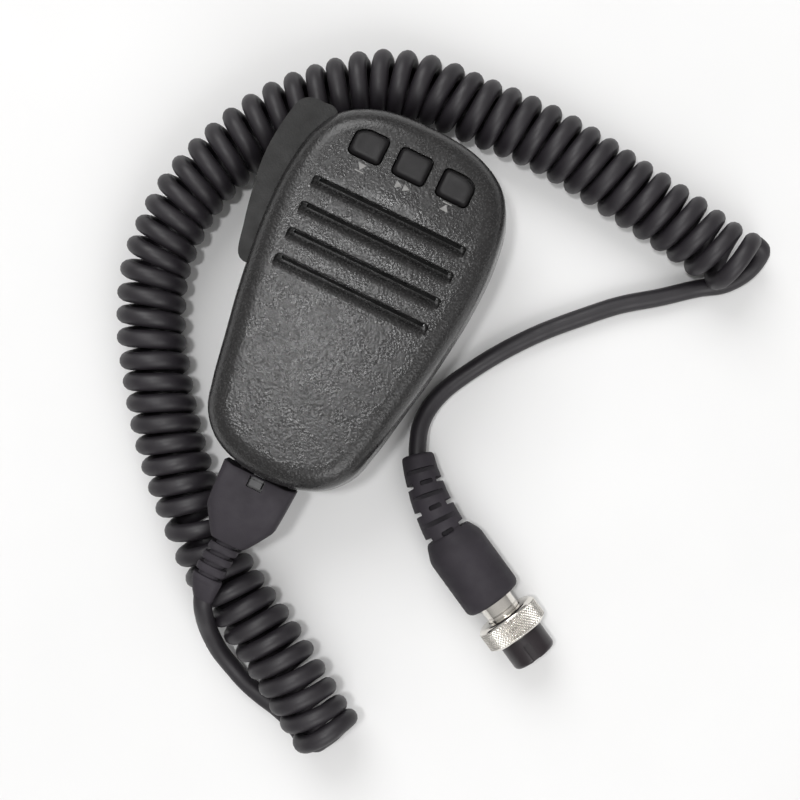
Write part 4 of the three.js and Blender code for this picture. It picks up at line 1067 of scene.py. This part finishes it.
def coupling_nut():
    """A nickel nut whose band is cut by two crossing sets of fine grooves."""
    rear, front = NUT_REAR, NUT_FRONT
    angles = np.linspace(0, 2 * math.pi, KNURL_SIDES, endpoint=False)
    rings = []

    def plain_ring(radius, height):
        rings.append([(radius * math.cos(a), height, radius * math.sin(a)) for a in angles])

    rear_edge = [(BARREL_HOLE, rear), (7.6, rear), (8.3, rear + 0.1), (8.9, rear + 0.45), (9.15, rear + 0.9)]
    for radius, height in rear_edge:
        plain_ring(radius, height)
    band = np.linspace(rear + 1.0, front - 0.9, KNURL_RINGS)
    for height in band:
        fade = min(1.0, (height - band[0]) / KNURL_FADE, (band[-1] - height) / KNURL_FADE)
        points = []
        for a in angles:
            u, v = KNURL_TEETH * a / (2 * math.pi), (height - rear) / KNURL_PITCH
            ridge = 1 - max(abs(2 * ((u + v) % 1) - 1), abs(2 * ((u - v) % 1) - 1))
            radius = NUT_RADIUS - KNURL_DEPTH * (1 - fade * min(1.0, KNURL_FLAT * ridge))
            points.append((radius * math.cos(a), height, radius * math.sin(a)))
        rings.append(points)
    for radius, height in [(9.1, front - 0.8), (8.6, front - 0.35), (7.8, front), (NUT_BORE, front)]:
        plain_ring(radius, height)
    plain_ring(NUT_BORE, rear + 1.4)
    plain_ring(BARREL_HOLE, rear + 1.4)
    nut = loft("knurled_nut", rings, connector_point, closed=True)
    return finish_piece(nut, "nickel", body="coupling_nut", replaced=("coupling_nut",), angle=50)


def connector_barrel():
    """A plated tube with a fine turned line round it."""
    profile = [
        (3.6, -1),
        (4.85, -1),
        (5.05, -0.8),
        (5.05, 10.4),
        (4.9, 10.5),
        (4.9, 10.75),
        (5.05, 10.85),
        (5.05, 20.6),
        (3.6, 20.6),
    ]
    barrel = turned("barrel_sleeve", profile, 96, connector_point)
    return finish_piece(barrel, "nickel", replaced=("connector_barrel",))


CONTACTS, CONTACT_RING, CONTACT_HOLE = 8, 4.3, 1.05


def connector_insert():
    """The insert with one contact hole in the middle, seven round it and a keyway."""

    def hole_at(x, z):
        profile = [(0, 21), (CONTACT_HOLE, 21), (CONTACT_HOLE, 28), (0, 28)]
        return turned("cutter", profile, 32, lambda p: connector_point((p[0] + x, p[1], p[2] + z)))

    profile = [(0, 19), (6.6, 19), (6.75, 19.15), (6.75, 26.1), (6.6, 26.6), (6.25, 27), (0, 27)]
    insert = turned("contact_insert", profile, 96, connector_point)
    cutters = [
        turned(
            "cutter", [(3.3, 18), (BARREL_HOLE, 18), (BARREL_HOLE, 20.9), (3.3, 20.9)], 64, connector_point
        ),
        box_piece("cutter", (-1.1, 21.6, 5.65), (1.1, 28, 9), connector_point),
    ]
    cutters.append(hole_at(0, 0))
    for i in range(1, CONTACTS):
        a = math.pi / 2 + 2 * math.pi * (i - 0.5) / (CONTACTS - 1)
        cutters.append(hole_at(CONTACT_RING * math.cos(a), CONTACT_RING * math.sin(a)))
    combine(insert, cutters, "DIFFERENCE")
    return finish_piece(insert, "insert_plastic", replaced=("connector_insert",))


boot_at_mic = mic_boot()
boot_at_connector = connector_boot()
nut = coupling_nut()
barrel = connector_barrel()
insert = connector_insert()

# ------------------------------------------------------------------ floor and light

FLOOR_HALF = 9.0
WORLD_LOW, WORLD_HIGH, WORLD_TOP = 0.3, 0.55, 0.75
PANEL_AIM, PANEL_SIZE = (0.02, 0, 0), 1.3


def floor():
    mesh = bpy.data.meshes.new("floor")
    size = FLOOR_HALF
    corners = [(-size, -size, 0), (size, -size, 0), (size, size, 0), (-size, size, 0)]
    mesh.from_pydata(corners, [], [(0, 1, 2, 3)])
    plane = bpy.data.objects.new("floor", mesh)
    bpy.context.scene.collection.objects.link(plane)
    look = surface("floor_board", (0.76, 0.76, 0.76), 0.75, tint=0.012, patch=60, specular=0.2)
    plane.data.materials.append(look)


def area_light(name, at, target, size, power):
    """A round lamp in the row frame, in metres and watts, aimed at target."""
    data = bpy.data.lights.new(name, "AREA")
    data.shape = "DISK"
    data.size = size
    data.energy = power
    light = bpy.data.objects.new(name, data)
    light.location = at
    light.rotation_euler = (Vector(target) - Vector(at)).to_track_quat("-Z", "Y").to_euler()
    bpy.context.scene.collection.objects.link(light)


floor()
area_light("key_light", (-0.95, 0.95, 1.3), PANEL_AIM, PANEL_SIZE, 16)
area_light("fill_light", (1.1, -0.9, 1.2), PANEL_AIM, PANEL_SIZE, 14)
area_light("face_light", (-0.115, -0.03, 0.95), (0.0, -0.03, 0), 0.08, 2.6)


def studio_world():
    """A room that is white overhead and darker towards its walls."""
    world = bpy.data.worlds.new("world")
    bpy.context.scene.world = world
    world.use_nodes = True
    tree = world.node_tree
    place = tree.nodes.new("ShaderNodeTexCoord")
    split = tree.nodes.new("ShaderNodeSeparateXYZ")
    ramp = tree.nodes.new("ShaderNodeMapRange")
    ramp.inputs["From Min"].default_value = 0.0
    ramp.inputs["From Max"].default_value = WORLD_TOP
    ramp.inputs["To Min"].default_value = WORLD_LOW
    ramp.inputs["To Max"].default_value = WORLD_HIGH
    tree.links.new(place.outputs["Generated"], split.inputs["Vector"])
    tree.links.new(split.outputs["Z"], ramp.inputs["Value"])
    background = tree.nodes["Background"]
    tree.links.new(ramp.outputs["Result"], background.inputs["Strength"])
    background.inputs["Color"].default_value = (1, 0.99, 0.98, 1)


studio_world()
bpy.context.scene.view_settings.view_transform = "Standard"
